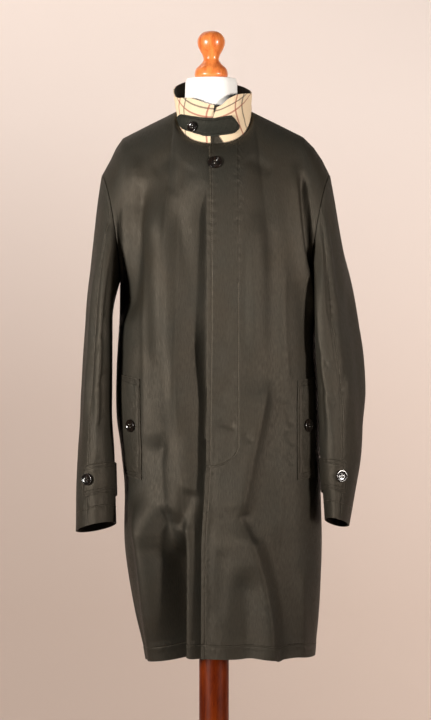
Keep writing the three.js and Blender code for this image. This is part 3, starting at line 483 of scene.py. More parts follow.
def smooth_object(name, vertices, faces, material):
    """One smooth mesh object at the origin, from points in millimetres."""
    mesh = bpy.data.meshes.new(name)
    mesh.from_pydata((np.asarray(vertices) * MM).tolist(), [], [list(face) for face in faces])
    mesh.shade_smooth()
    mesh.materials.append(material)
    item = bpy.data.objects.new(name, mesh)
    bpy.context.scene.collection.objects.link(item)
    return item


def make_object(name, vertices, faces, material, slot, uv=None, marks=None):
    """A piece that rides on the object's body, with its flat place and its marks at every point."""
    piece = smooth_object(name, vertices, faces, material)
    mesh = piece.data
    if uv is not None:
        corner = np.zeros(len(mesh.loops), int)
        mesh.loops.foreach_get("vertex_index", corner)
        layer = mesh.uv_layers.new(name="cloth")
        layer.data.foreach_set("uv", uv.reshape(-1, 2)[corner].ravel().astype(np.float32))
    for key, values in (marks or {}).items():
        mark = mesh.attributes.new(key, "FLOAT", "POINT")
        mark.data.foreach_set("value", values.ravel().astype(np.float32))
    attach(piece, "root")
    return piece


CUT_EDGE = np.radians(60)  # a turn this sharp is a cut or folded edge, and shades as one


def cloth_piece(name, grid, inside, thickness, cloth, lift=0.0, settle=None, stitches=None,
                edge_wear=1.0):
    """A closed thin shell from one grid of its outer face, in a cloth given as its material and a slot
    name which is not used.
    Its edges' wear, 1 at the edge and fading inwards over a few millimetres, is kept in 'worn', and
    the distance to its nearest line of stitches in 'stitch'."""
    normal, turn = grid_normals(grid, inside)
    if settle is not None:
        normal = settle(normal, grid)
    outer = grid + normal * lift
    inner = grid + normal * (lift - thickness)
    rows, columns = grid.shape[:2]
    flat = flat_lengths(grid)
    s, t = flat[..., 0] / MM, flat[..., 1] / MM
    to_edge = np.minimum.reduce([s, s[:, -1:] - s, t, t[-1:] - t])
    worn = edge_wear * np.exp(-to_edge / 5.0)
    line = np.full(grid.shape[:2], 30.0) if stitches is None else stitches
    faces = np.concatenate([
        grid_faces(rows, columns, 0, turn),
        grid_faces(rows, columns, rows * columns, -turn),
        rim_faces(rows, columns, turn),
    ])
    vertices = np.concatenate([outer.reshape(-1, 3), inner.reshape(-1, 3)])
    piece = make_object(f"{name}_cloth", vertices, faces, *cloth,
                        uv=np.concatenate([flat.reshape(-1, 2)] * 2),
                        marks={"worn": np.concatenate([worn, worn]),
                               "stitch": np.concatenate([line, np.full_like(line, 30.0)])})
    piece.data.set_sharp_from_angle(angle=CUT_EDGE)
    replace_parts(piece, name)
    return piece


def linear(code):
    """A colour written as sRGB hex, such as "3a332a", in linear light with alpha 1."""
    value = np.array([int(code[i:i + 2], 16) for i in (0, 2, 4)]) / 255
    bent = np.where(value <= 0.04045, value / 12.92, ((value + 0.055) / 1.055) ** 2.4)
    return (*(float(v) for v in bent), 1.0)


def add_node(material, kind, inputs=None, **settings):
    """Adds one shader node with its settings. An input is a value, or an output to link, or a node whose
    first output in use is linked."""
    tree = material.node_tree
    node = tree.nodes.new("ShaderNode" + kind)
    for key, value in settings.items():
        setattr(node, key, value)
    for key, value in (inputs or {}).items():
        if isinstance(value, bpy.types.Node):
            value = next(socket for socket in value.outputs if socket.enabled)
        if isinstance(value, bpy.types.NodeSocket):
            tree.links.new(value, node.inputs[key])
        else:
            node.inputs[key].default_value = value
    return node


def new_material(name):
    """An empty node material, and the function that adds a node to it."""
    material = bpy.data.materials.new(name)
    material.use_nodes = True
    material.node_tree.nodes.clear()
    return material, partial(add_node, material)


def noise(add, place, scale, detail, **more):
    """Even noise at a place, so many swings to the metre."""
    return add("TexNoise", {"Vector": place, "Scale": scale, "Detail": detail, **more})


def mix(add, share, first, second):
    """The colour between two, each an sRGB hex code or a node."""
    first, second = (linear(tone) if isinstance(tone, str) else tone for tone in (first, second))
    return add("Mix", {"Factor": share, "A": first, "B": second}, data_type="RGBA")


def math(add, operation, *values):
    """One step of arithmetic on nodes and numbers."""
    return add("Math", dict(enumerate(values)), operation=operation)


def spread(add, value, low, high, to_low=0.0, to_high=1.0, **settings):
    """A value's range from low to high, laid over another range."""
    return add("MapRange", {"Value": value, "From Min": low, "From Max": high, "To Min": to_low,
                            "To Max": to_high}, **settings)


def bump(add, height, strength, distance, under=None, **settings):
    """Relief of a height, so many metres deep, over the relief that is under it."""
    relief = {"Height": height, "Strength": strength, "Distance": distance}
    return add("Bump", relief | ({"Normal": under} if under else {}), **settings)


def finish_material(material, add, surface):
    """Ends a material in a principled shader with these inputs, or in the shader given."""
    shader = add("BsdfPrincipled", surface) if isinstance(surface, dict) else surface
    add("OutputMaterial", {"Surface": shader})
    return material


def twill_cloth(name, warp, weft, worn_tone, roughness, gloss):
    """Woven twill. Its ribs stand 1 mm apart and slope at 63 degrees. They are finer than a step of the
    render, so what the eye gets is a broad satin gloss over a dark ground, the two yarns' colours side
    by side in slow blotches, a grain along the warp, paler edges, and painted shade: a dark line painted
    along each row of stitches where its groove lies in shade, with the cloth drawn in beside it."""
    material, add = new_material(name)
    place = add("UVMap", uv_map="cloth")
    blotch = noise(add, place, 9.0, 3.0, Roughness=0.6)
    grain = noise(add, add("Mapping", {"Vector": place, "Scale": (1.0, 0.22, 1.0)}), 420.0, 4.0)
    turned = add("Mapping", {"Vector": place, "Rotation": (0, 0, np.radians(27))})
    ribs = add("TexWave", {"Vector": turned, "Scale": 314.0, "Distortion": 0.6, "Detail": 1.0},
               wave_type="BANDS", bands_direction="X").outputs["Fac"]
    yarn = mix(add, spread(add, blotch, 0.32, 0.68), warp, weft)
    tint = spread(add, grain, 0.3, 0.7, 0.75, 1.25)
    grained = add("VectorMath", {0: yarn, 3: tint}, operation="SCALE")
    worn = add("Attribute", attribute_name="worn").outputs["Fac"]
    edged = mix(add, math(add, "MULTIPLY", worn, 0.22), grained, worn_tone)
    line = add("Attribute", attribute_name="stitch").outputs["Fac"]
    gap = math(add, "ABSOLUTE", line)
    # furrow marks each stitch groove: it presses the groove into the relief and paints shade into the
    # colour
    furrow = spread(add, gap, 0.3, 1.7, 1.0, 0.0, interpolation_type="SMOOTHSTEP")
    drawn_in = spread(add, gap, 1.0, 11.0, 1.0, 0.0, interpolation_type="SMOOTHSTEP")
    relief = bump(add, ribs, 0.35, 0.0003)
    relief = bump(add, grain, 0.5, 0.0007, relief)
    pucker = math(add, "MULTIPLY", noise(add, place, 95.0, 1.0), drawn_in)
    relief = bump(add, pucker, 0.7, 0.0022, relief)
    relief = bump(add, furrow, 0.8, 0.0007, relief, invert=True)
    return finish_material(material, add, {
        # painted shade: the colour falls towards near black along each stitch groove
        "Base Color": mix(add, math(add, "MULTIPLY", furrow, 0.45), edged, "0a0907"),
        "Roughness": spread(add, grain, 0.3, 0.7, roughness + 0.07, roughness - 0.07),
        "Normal": relief,
        "Specular IOR Level": gloss,
        "Specular Tint": linear("ffeed8"),
        "Sheen Weight": 0.03,
        "Sheen Roughness": 0.4,
        "Sheen Tint": linear("b8ad98"),
    })


gabardine = twill_cloth("gabardine", "1e1b14", "161916", "37322a", 0.62, 0.7), "gabardine"

STEP = 3.4  # spacing of the cloth's points
PANEL_LENGTH, FRONT_WIDTH, HALF_BACK = 1000, 240, 230  # about, and only for the number of points


def seam_direction(normal, grid, side_seams, shoulder_from, chest_row):
    """Edges' directions turned into the plane of their seam, so that sewn pieces meet face to face."""
    normal = normal.copy()
    for column in side_seams:
        normal[:chest_row + 1, column, 1] = 0
        out = grid[chest_row + 1:, column] - ARMHOLE_MIDDLE
        normal[chest_row + 1:, column] = out * np.array([0, 1, 1])
    normal[-1, shoulder_from, 1] = 0
    return normal / np.linalg.norm(normal, axis=-1, keepdims=True)


def panel_grid(piece, side_name):
    """A panel's outer face on an even grid of about STEP, with one row exactly at the underarm."""
    rows = int(round(PANEL_LENGTH / STEP / 3)) * 3 + 1
    columns = int(round((HALF_BACK if piece == "back" else FRONT_WIDTH) / STEP))
    u, v = np.meshgrid(np.linspace(0, 1, columns), np.linspace(0, 1, rows))
    point = panel(piece, side_name, u, v)[0]
    return point, panel_stitches(piece, u, v, point)


for side_name in SIDE:
    grid, lines = panel_grid(f"front_{side_name}", side_name)
    rows, columns = grid.shape[:2]
    on_shoulder = np.arange(columns) / (columns - 1) >= NECK_SHARE
    cloth_piece(
        f"front_{side_name}", grid, BODY_MIDDLE, CLOTH, gabardine, stitches=lines,
        settle=lambda normal, g: seam_direction(normal, g, [-1], on_shoulder, (rows - 1) * 2 // 3),
    )

right_half, right_lines = panel_grid("back", "right")
left_half, left_lines = panel_grid("back", "left")
grid = np.concatenate([right_half[:, :0:-1], left_half], axis=1)
lines = np.concatenate([right_lines[:, :0:-1], left_lines], axis=1)
rows, columns = grid.shape[:2]
on_shoulder = np.abs(np.linspace(-1, 1, columns)) >= NECK_SHARE
cloth_piece(
    "back", grid, BODY_MIDDLE, CLOTH, gabardine, stitches=lines,
    settle=lambda normal, g: seam_direction(normal, g, [0, -1], on_shoulder, (rows - 1) * 2 // 3),
)

# ------------------------------------------------------------------ sleeves
# Set-in sleeves of the same gabardine, each sewn from a top and an under half. The forward seam is
# topstitched, and so is the hem of the cuff. They hang empty, so they crease at the elbow's bend.

SLEEVE = {
    "right": {
        "z": [700, 726, 800, 860, 920, 980, 1040, 1100],
        "outer": [249, 249, 248.5, 246, 242.5, 239, 235.5, 231.5],
        "inner": [176, 176, 178, 180, 184, 184, 184, 184],
        "y": [-50, -50, -44, -38, -32, -26, -20, -14],
        "depth": [56, 57, 63, 70, 75, 79, 83, 86],
        "lean": [0, 0, 0.03, 0.04, 0.05, 0.05, 0.06, 0.06],
    },
    "left": {
        "z": [700, 735, 800, 860, 920, 980, 1040, 1100],
        "outer": [237, 243.5, 255, 264, 267, 268, 262.5, 253.5],
        "inner": [200, 199, 195, 191.5, 190.5, 190.5, 190, 189.5],
        "y": [-58, -56, -51, -46, -40, -34, -28, -20],
        "depth": [62, 63, 67, 71, 75, 78, 81, 84],
        "lean": [0.06, 0.08, 0.14, 0.19, 0.22, 0.27, 0.32, 0.31],
    },
}
CUFF_Z = {"right": 725, "left": 734}
CAP_Z = 1100
CAP_SHARE = 0.66
CUFF_TILT_X = 0.2
CUFF_TILT_Y = 0.17
CUFF_TILT_OVER = 330  # the height over which the rings tilt
ARMHOLE_SEAM = 1.3
SLEEVE_SEAM = {"front": 0.2, "back": 0.7}
SLEEVE_ROUNDNESS = 1.04
SLEEVE_ROUND = 300  # about how far it is round a sleeve
CALM_REACH = 34  # how far the calm stretch beside the body reaches each way
ARM_MIDDLE = {"left": (215, -20, 1000), "right": (-215, -20, 1000)}
CAP = {
    "s": [0, 0.25, 0.5, 0.75, 1],
    "out": [9, 12, 5, 12, 9],
    "forward": [0, 14, 0, -14, 0],
    "down": [40, 42, 16, 42, 40],
    "up": [82, 56, 20, 56, 82],
}
# Creases by the way round (0 outside, 75 front, 150 inside, 225 back) and height, as on the fronts.
SLEEVE_CREASES = {
    "right": [
        (74, 1290, 76, 850, 4, 9, 7, 4, 1.7),
        (56, 1260, 58, 900, -3, 8, 7, -3.4, 1.7),
        (38, 1230, 36, 860, 0, 9, 9, 3, 1.9),
        (92, 1180, 92, 880, 4, 9, 9, -3, 1.8),
        (108, 1120, 60, 1040, 5, 8, 12, -3.4, 1.6),
        (120, 1010, 66, 960, -5, 7, 11, -3, 1.6),
        (112, 930, 72, 900, 0, 7, 9, -2.2, 1.6),
        (20, 1330, 60, 1255, 6, 9, 8, -4, 1.6),
        (40, 1345, 74, 1290, 0, 7, 6, 2.6, 1.6),
        (80, 860, 84, 790, 0, 8, 8, -2, 1.8),
        (8, 1150, 14, 860, 0, 12, 12, -2.6, 2),
        (-14, 1240, -20, 900, 0, 12, 12, 3, 2),
        (262, 1160, 268, 860, 0, 12, 12, -3.6, 2),
        (236, 1230, 240, 880, 0, 12, 12, 3, 2),
        (216, 1090, 262, 1020, 5, 9, 13, -3.2, 1.6),
        (205, 1000, 250, 950, 5, 9, 11, -2.6, 1.6),
    ],
    "left": [
        (96, 1290, 84, 880, 4, 8, 10, 4, 1.7),
        (66, 1330, 56, 1060, -4, 9, 8, -5, 1.6),
        (46, 1300, 44, 900, 0, 10, 10, 3, 1.9),
        (30, 1330, 30, 1120, 0, 9, 9, -3, 1.8),
        (104, 1180, 104, 860, 0, 8, 8, -3, 1.8),
        (118, 1080, 70, 1010, 5, 8, 12, -3.4, 1.6),
        (112, 985, 70, 940, -4, 7, 11, -2.6, 1.6),
        (60, 930, 62, 830, 0, 7, 9, -2, 1.7),
        (34, 1020, 56, 955, 3, 6, 8, -2.2, 1.6),
        (10, 1170, 12, 860, 0, 12, 12, -2.6, 2),
        (-16, 1250, -20, 900, 0, 12, 12, 3, 2),
        (262, 1170, 266, 870, 0, 12, 12, -3.6, 2),
        (234, 1230, 238, 880, 0, 12, 12, 3, 2),
        (214, 1100, 258, 1030, 5, 9, 13, -3.2, 1.6),
        (208, 990, 250, 940, 5, 9, 11, -2.6, 1.6),
    ],
}
CUFF_HEM_DEPTH = 30


def sleeve_ring(side_name, s, z):
    """One ring: a soft superellipse that leans with depth, s once round from the outside over the
    front, and whose height falls outwards and backwards towards the cuff."""
    side = SIDE[side_name]
    rows = SLEEVE[side_name]
    outer, inner, y, depth, lean = read(rows, "z", ("outer", "inner", "y", "depth", "lean"), z)
    angle = s * 2 * np.pi
    away = (outer - inner) / 2 * power(np.cos(angle), SLEEVE_ROUNDNESS)
    back = -depth * power(np.sin(angle), SLEEVE_ROUNDNESS)
    fall = smooth((CAP_Z - z) / CUFF_TILT_OVER) * (CUFF_TILT_X * away + CUFF_TILT_Y * back)
    return points(side * ((outer + inner) / 2 + away + lean * back), y + back, z - fall)


def armhole(side_name, s):
    """The armhole's edge from the shoulder over the front to the underarm, and up the back."""
    t = np.abs(1 - 2 * s)
    edge = np.ones_like(s)
    front = body_above(f"front_{side_name}", side_name, edge, t) - np.array([0, SEAM / 2, 0])
    back = body_above("back", side_name, edge, t) + np.array([0, SEAM / 2, 0])
    return np.where((s < 0.5)[..., None], front, back)


def sleeve_base(side_name, s, v):
    """The sleeve before it creases: rings from the cuff to CAP_Z, then Bezier curves to the armhole."""
    side = SIDE[side_name]
    s, v = as_grid(s % 1, v)
    z = CUFF_Z[side_name] + (CAP_Z - CUFF_Z[side_name]) * v / CAP_SHARE
    below = sleeve_ring(side_name, s, np.minimum(z, CAP_Z))
    out, forward, down, up = read(CAP, "s", ("out", "forward", "down", "up"), s)
    end = armhole(side_name, s) + np.array([side * ARMHOLE_SEAM, 0, 0])
    start = sleeve_ring(side_name, s, np.full_like(s, CAP_Z))
    rise = (start - sleeve_ring(side_name, s, np.full_like(s, CAP_Z - 10))) * (up / 10)[..., None]
    leave = points(side * out, -forward, -down)
    t = np.clip((v - CAP_SHARE) / (1 - CAP_SHARE), 0, 1.01)[..., None]
    r = 1 - t
    above = r**3 * start + 3 * r * r * t * (start + rise) + 3 * r * t * t * (end + leave) + t**3 * end
    return np.where((v <= CAP_SHARE)[..., None], below, above)


def sleeve(side_name, s, v):
    """The creased sleeve: the base moved along its own normal, calm at the armhole."""
    s, v = as_grid(s, v)
    base = partial(sleeve_base, side_name)
    point = base(s, v)
    normal = normals_of(base, s, v, ARM_MIDDLE[side_name])
    around = (s % 1) * SLEEVE_ROUND
    z = point[..., 2]
    out = creases(SLEEVE_CREASES[side_name], around, z)
    out = out + creases(SLEEVE_CREASES[side_name], around - SLEEVE_ROUND, z)
    angle = 2 * np.pi * s
    swell = 0.8 * ripple(60 * np.cos(angle), 60 * np.sin(angle) + 0.4 * z, 44, 11)
    inner_side = np.exp(-(((around - SLEEVE_ROUND / 2) / CALM_REACH) ** 2))
    out = (out * (1 - 0.8 * inner_side) + swell * (1 - inner_side)) * smooth((1 - v) / 0.07)
    level = v / CAP_SHARE * (CAP_Z - CUFF_Z[side_name])
    out = out + stitched(level - CUFF_HEM_DEPTH, around, depth=0.45)
    beside = around - SLEEVE_SEAM["front"] * SLEEVE_ROUND
    out = out + stitched(beside + 4, z, depth=0.5)
    return point + normal * out[..., None]


def sleeve_half(side_name, start, stop):
    """Grid of one half of a sleeve, between two shares of the way round."""
    columns = int(round((stop - start) * 320 / STEP))
    rows = int(round(640 / STEP))
    gap = 0.0006
    s, v = np.meshgrid(np.linspace(start + gap, stop - gap, columns), np.linspace(0, 1, rows))
    level = v / CAP_SHARE * (CAP_Z - CUFF_Z[side_name])
    seam = (s % 1 - SLEEVE_SEAM["front"]) * SLEEVE_ROUND
    lines = nearest_line(level - CUFF_HEM_DEPTH, seam + 6)
    return sleeve(side_name, s, v), lines


def into_armhole(normal, grid):
    """The sleeve's top row turned into the plane of the armhole."""
    normal = normal.copy()
    out = (grid[-1] - ARMHOLE_MIDDLE) * np.array([0, 1, 1])
    normal[-1] = out / np.linalg.norm(out, axis=-1, keepdims=True)
    return normal


front, back = SLEEVE_SEAM["front"], SLEEVE_SEAM["back"]
for side_name in SIDE:
    for half, start, stop in (("top", back - 1, front), ("under", front, back)):
        grid, lines = sleeve_half(side_name, start, stop)
        cloth_piece(f"sleeve_{side_name}_{half}", grid, ARM_MIDDLE[side_name], CLOTH, gabardine,
                    settle=into_armhole, stitches=lines, edge_wear=0.15)

# ------------------------------------------------------------------ collar
# A deep collar turned up round the neck. The undercollar, which shows, is a brushed cotton in an even
# tattersall check. The top collar, turned to the neck, is the coat's gabardine. They are bagged out
# together and edge-stitched round the rim.

COLLAR_CLOTH = 1.2
COLLAR_RIM = {
    "bearing": [-2, 12, 22, 40, 90, 135, 180, 225, 262, 290, 325, 350, 364],
    "z": [1478, 1484, 1495, 1505, 1512, 1529, 1538, 1536, 1520, 1502, 1498, 1488, 1484],
}
LEAF_EDGE = {"h": [0, 0.25, 0.7, 1], "left": [14.5, 6, -1, 5], "right": [354.5, 355, 360, 362]}
FACING_EDGE = {"h": [0, 0.25, 0.7, 1], "left": [1, 1, -1, 5], "right": [363, 362, 361, 362]}
COLLAR_TOP = {"x": -2, "y": 2, "width": 71.5, "depth": 63}
LEAF_TUCK = 3.6  # how far the wearer's right leaf is tucked under the left one
COLLAR_HEIGHT = 55
NECK_X = -5


def collar_point(bearing, h, tucked=0.0):
    """The standing collar: straight up and out from the neckline, h = 0, to an oval rim, h = 1, whose
    height follows the bearing in degrees, 0 in front and 90 over the wearer's left."""
    a = np.radians(bearing)
    sine, cosine = np.sin(a), np.cos(a)
    back = cosine < 0
    foot = neckline(back, np.where(back, np.pi - a, a)) + points(-0.6 * sine, 0.6 * cosine, 0.8)
    rim = points(
        COLLAR_TOP["x"] + COLLAR_TOP["width"] * sine,
        COLLAR_TOP["y"] - COLLAR_TOP["depth"] * cosine,
        curve(COLLAR_RIM["bearing"], COLLAR_RIM["z"], bearing),
    )
    h = np.asarray(h)[..., None]
    return foot + (rim - foot) * h + points(-tucked * sine, tucked * cosine, 0)


def collar_leaf(edge, u, h):
    """The collar over its whole length, u from the wearer's left leaf round the back to the right one,
    with a little wave along the rim and a groove under its edge stitching."""
    bearing = between(list(read(edge, "h", ("left", "right"), h)), u)
    point = collar_point(bearing, h, LEAF_TUCK * smooth((bearing - 325) / 28))
    a = np.radians(bearing)
    height = (1 - h) * COLLAR_HEIGHT
    wave = 0.9 * h * np.sin(3 * a + 0.8) * smooth((bearing - 30) / 30) * smooth((330 - bearing) / 30)
    bare = smooth((bearing - 44) / 10) * smooth((285 - bearing) / 10) * smooth(h / 0.15)
    rumple = 1.1 * ripple(bearing * 1.2, height, 24, 13) * bare
    out = wave + rumple + stitched(height - 6, bearing * 1.15, pitch=12.0, depth=0.4)
    return point + points(out * np.sin(a), -out * np.cos(a), 0)


def tattersall(name):
    """Brushed cotton, piece-dyed beige. Both ways run pairs of thin lines, a dull red one and 16 mm on a
    dark grey one, and each pair is 64 mm from the next. A line lets a quarter of the ground through."""
    material, add = new_material(name)
    place = add("UVMap", uv_map="cloth")
    axes = add("SeparateXYZ", {"Vector": place})
    ground = noise(add, place, 700.0, 2.0)
    colour = mix(add, ground, "dcc19c", "f0dabb")
    half_repeat, half_line, strength = 0.032, 0.0016, 0.72
    for tone, shift in (("3d3a3a", 0.0), ("94483f", 0.5)):
        for axis in ("X", "Y"):
            turns = math(add, "MULTIPLY", axes.outputs[axis], 1 / half_repeat)
            from_line = math(add, "PINGPONG", math(add, "ADD", turns, shift), 1.0)
            near = math(add, "LESS_THAN", from_line, half_line / half_repeat)
            colour = mix(add, math(add, "MULTIPLY", near, strength), colour, tone)
    return finish_material(material, add, {
        "Base Color": colour, "Roughness": 0.85, "Normal": bump(add, ground, 0.3, 0.0004),
        "Specular IOR Level": 0.25, "Sheen Weight": 0.2, "Sheen Roughness": 0.5,
        "Sheen Tint": linear("fff2e0"),
    })


checked_cloth = tattersall("tattersall_cotton"), "checked_cloth"
collar_columns = int(round(430 / (STEP * 0.6)))
u, h = np.meshgrid(np.linspace(0, 1, collar_columns), np.linspace(0, 1, int(round(70 / (STEP * 0.6)))))
neck_middle = (NECK_X, 0, 1490)
cloth_piece("collar_under", collar_leaf(LEAF_EDGE, u, h), neck_middle, COLLAR_CLOTH, checked_cloth)
cloth_piece("collar_top", collar_leaf(FACING_EDGE, u, h), neck_middle, COLLAR_CLOTH, gabardine,
            lift=-COLLAR_CLOTH - SEAM)

# ------------------------------------------------------------------ throat strap
# A short strap of dark proofed cotton that holds the raised collar shut. It is cut double, with one
# pointed end and one blunt end, topstitched all round, and buttoned near its point.

TRIM = 1.8
STRAP_RIM_Z = 1493
STRAP_LENGTH, STRAP_HEIGHT = 130, 34
STRAP_INSET = 4.5  # how far inside its edge it is stitched
THROAT_STRAP = {
    "bearing": [-71, -55, -15, 0, 27, 33, 41],
    "low": [1460, 1443, 1428, 1427, 1432, 1434.5, 1442],
    "high": [1465, 1470, 1461.5, 1460, 1466, 1459, 1447],
}


def collar_at(bearing, z):
    """Where the strap lies round the closed collar at a bearing and a height in millimetres: on the
    straight line from the neckline to the rim, whose height is taken as even in front."""
    foot, rim = collar_point(bearing, np.zeros_like(z)), collar_point(bearing, np.ones_like(z))
    h = (z - foot[..., 2]) / (STRAP_RIM_Z - foot[..., 2])
    return points(*(foot + (rim - foot) * h[..., None])[..., :2].transpose(2, 0, 1), z)


def throat_strap(u, v):
    """The strap on the collar: bearing along it, and height between its two edges, which are straight
    between the rows of THROAT_STRAP."""
    rows = THROAT_STRAP
    bearing = between(rows["bearing"], u)
    low, high = (np.interp(bearing, rows["bearing"], rows[key]) for key in ("low", "high"))
    point = collar_at(bearing, between((low, high), v))
    edge = np.minimum(v, 1 - v) * (high - low)
    a = np.radians(bearing)
    wave = 0.6 * np.sin(3.1 * v + u * 6) * v
    out = stitched(edge - STRAP_INSET, bearing * 1.2, pitch=21.0, depth=0.45) + wave
    return point + points(out * np.sin(a), -out * np.cos(a), 0)


proofed_cotton = twill_cloth("proofed_cotton", "161b18", "131815", "2f352f", 0.7, 0.4), "strap_cloth"
u, v = np.meshgrid(np.linspace(0, 1, 110), np.linspace(0, 1, 24))
along = u * STRAP_LENGTH
strap_inset = np.minimum.reduce([np.minimum(v, 1 - v) * STRAP_HEIGHT, along, STRAP_LENGTH - along])
cloth_piece("throat_strap", throat_strap(u, v), (NECK_X, 0, 1460), TRIM, proofed_cotton,
            lift=TRIM + 2 * SEAM, stitches=strap_inset - STRAP_INSET)

# ------------------------------------------------------------------ pocket welts
# Each slanted side pocket has a deep buttoned welt, cut double, laid on the front and topstitched to it
# at its front edge and across both ends.

LAID = 0.95
WELT = {
    "right": {"z": (812, 992), "seam": (130, 130), "edge": (158, 163), "slant": 8},
    "left": {"z": (812, 990), "seam": (148, 149), "edge": (178, 178), "slant": 5},
}


def share_at(piece, side, x, z):
    """The share u of a panel at which the body has this x below the underarm: the superellipse solved
    backwards for its angle."""
    middle, half, n, start = level_shape(piece, z)
    angle = np.arcsin(power(np.clip((x - middle) / half, -1, 1), n / 2))
    return (angle - start) / (side * np.pi / 2 - start)


def front_height(piece, side_name, u, z):
    """The share v of a panel at a height below the underarm."""
    hem = between((HEM["front"], HEM[side_name]), smooth(u))
    return (z - hem) / (CHEST_Z - hem) * CHEST_SHARE


def welt(side_name, u, v):
    """The welt on the draped front, u from its sewn front edge to its free edge, v up it."""
    side = SIDE[side_name]
    piece = f"front_{side_name}"
    rows = WELT[side_name]
    z = between(rows["z"], v) + rows["slant"] * u
    seam, edge = between(rows["seam"], v), between(rows["edge"], v)
    share = between([share_at(piece, side, side * x, z) for x in (seam, edge)], u)
    point, normal = panel(piece, side_name, share, front_height(piece, side_name, share, z))
    height = rows["z"][1] - rows["z"][0]
    ends = np.minimum(v, 1 - v) * height
    width = edge - seam
    out = stitched(ends - 7, u * width, depth=0.4) + 0.8 * u * np.sin(v * 9 + 1) ** 2
    lines = nearest_line(ends - 4, ends - 10, u * width - 3)
    return point + normal * out[..., None], lines


u, v = np.meshgrid(np.linspace(0, 1, 22), np.linspace(0, 1, 90))
for side_name in SIDE:
    grid, lines = welt(side_name, u, v)
    cloth_piece(f"welt_{side_name}", grid, BODY_MIDDLE, TRIM, gabardine, lift=TRIM + LAID,
                stitches=lines)

# ------------------------------------------------------------------ cuff straps
# A buttoned strap lies round each cuff from the back seam over the inside to the front, cut double and
# topstitched. The wearer's right one ends in a point, the left one is blunt.

CUFF_STRAP_HEIGHT = 57
CUFF_MIDDLE = {"left": (215, -45, 800), "right": (-215, -45, 800)}
CUFF_STRAP = {
    "right": {"z": 776, "tip": 0.125, "shoulder": 0.175, "root": 0.69},
    "left": {"z": 783, "tip": 0.155, "shoulder": 0.165, "root": 0.69},
}


def cuff_strap(side_name, u, v):
    """The strap round the sleeve, u from its tip to its root. Its height opens from the tip to the
    shoulder, and it stands clear of the sleeve's own creases."""
    rows = CUFF_STRAP[side_name]
    s = rows["tip"] + (rows["root"] - rows["tip"]) * u
    spread = smooth((s - rows["tip"]) / (rows["shoulder"] - rows["tip"]) + 0.15)
    middle = rows["z"] + CUFF_STRAP_HEIGHT / 2
    height = CUFF_STRAP_HEIGHT * spread
    z = middle + (v - 0.5) * height
    level = (z - CUFF_Z[side_name]) / (CAP_Z - CUFF_Z[side_name]) * CAP_SHARE
    point = sleeve(side_name, s, level)
    ring = partial(sleeve_base, side_name)
    base = ring(s, level)
    edge = np.minimum(v, 1 - v) * height
    along = (s - rows["tip"]) * SLEEVE_ROUND
    inset = np.minimum(edge, along * 0.9)
    normal = normals_of(ring, s, level, CUFF_MIDDLE[side_name])
    out = stitched(inset - 5, along, depth=0.4)
    lift = np.maximum(np.sum((point - base) * normal, -1), 0)
    free = 0.4 + 1.4 * np.exp(-((along / 22) ** 2))
    return base + normal * (lift + out + free)[..., None], nearest_line(inset - 3, inset - 8.5)


u, v = np.meshgrid(np.linspace(0, 1, 110), np.linspace(0, 1, 34))
for side_name in SIDE:
    grid, lines = cuff_strap(side_name, u, v)
    cloth_piece(f"cuff_strap_{side_name}", grid, CUFF_MIDDLE[side_name], TRIM, gabardine,
                lift=TRIM + LAID, stitches=lines)

# ------------------------------------------------------------------ sewing thread
# Lockstitches of corespun polyester thread, 4 mm apart, in a tone a little lighter than the cloth.
# Each stitch is a small grain of thread that lies in its groove.

STITCH_PITCH = 4.0
STITCH_LENGTH = 3.0
THREAD = 0.42  # half of a thread's width, drawn half as thick again as the real one so that it shows
THREAD_LIFT = 0.15


def stitch_row(points_on, normals):
    """Stitches along a line of points: each a closed grain of ten points, two at its ends and two rings
    of four, laid along the line at even steps."""
    steps = np.linalg.norm(np.diff(points_on, axis=0), axis=-1)
    along = np.concatenate([[0], np.cumsum(steps)])
    at = np.arange(STITCH_PITCH / 2, along[-1], STITCH_PITCH)

    def placed(values, places):
        return np.stack([np.interp(places, along, values[:, k]) for k in range(3)], -1)

    ends = [placed(points_on, at + shift) for shift in (-STITCH_LENGTH / 2, STITCH_LENGTH / 2)]
    normal = placed(normals, at)
    normal /= np.linalg.norm(normal, axis=-1, keepdims=True)
    across = np.cross(ends[1] - ends[0], normal)
    across /= np.linalg.norm(across, axis=-1, keepdims=True)
    middle = [ends[0] + (ends[1] - ends[0]) * share for share in (0.22, 0.78)]
    rings = [m + (across * dx + normal * dz) * THREAD
             for m in middle for dx, dz in ((1, 0), (0, 1), (-1, 0), (0, -1))]
    grain = np.stack([ends[0], *rings, ends[1]], 1) + (normal * THREAD_LIFT)[:, None]
    faces = []
    for k in range(4):
        after = (k + 1) % 4
        faces += [(0, 1 + after, 1 + k), (9, 5 + k, 5 + after)]
        faces += [(1 + k, 1 + after, 5 + after), (1 + k, 5 + after, 5 + k)]
    first = (np.arange(len(at)) * 10)[:, None, None]
    return grain.reshape(-1, 3), (np.array(faces)[None] + first).reshape(-1, 3)


def sew(name, rows):
    """One mesh of all the stitch rows of a panel, each given as points and normals."""
    vertices, faces, count = [], [], 0
    for points_on, normals in rows:
        grain, triangles = stitch_row(points_on, normals)
        vertices.append(grain)
        faces.append(triangles + count)
        count += len(grain)
    return make_object(name, np.concatenate(vertices), np.concatenate(faces), thread, "gabardine")


def polyester_thread(name, tone):
    """Corespun thread: a faint twist across each stitch and a low gloss."""
    material, add = new_material(name)
    twist = noise(add, add("TexCoord").outputs["Object"], 900.0, 1.0)
    return finish_material(material, add, {
        "Base Color": mix(add, twist, tone, "6f675a"), "Roughness": 0.45,
        "Normal": bump(add, twist, 0.3, 0.0002),
    })


thread = polyester_thread("olive_thread", "5c5444")


def line_on_panel(piece, side_name, x, z):
    """Points and normals of a line given by x and z on a draped front below the underarm."""
    side = SIDE[side_name]
    u = share_at(piece, side, x, z)
    return panel(piece, side_name, u, front_height(piece, side_name, u, z))


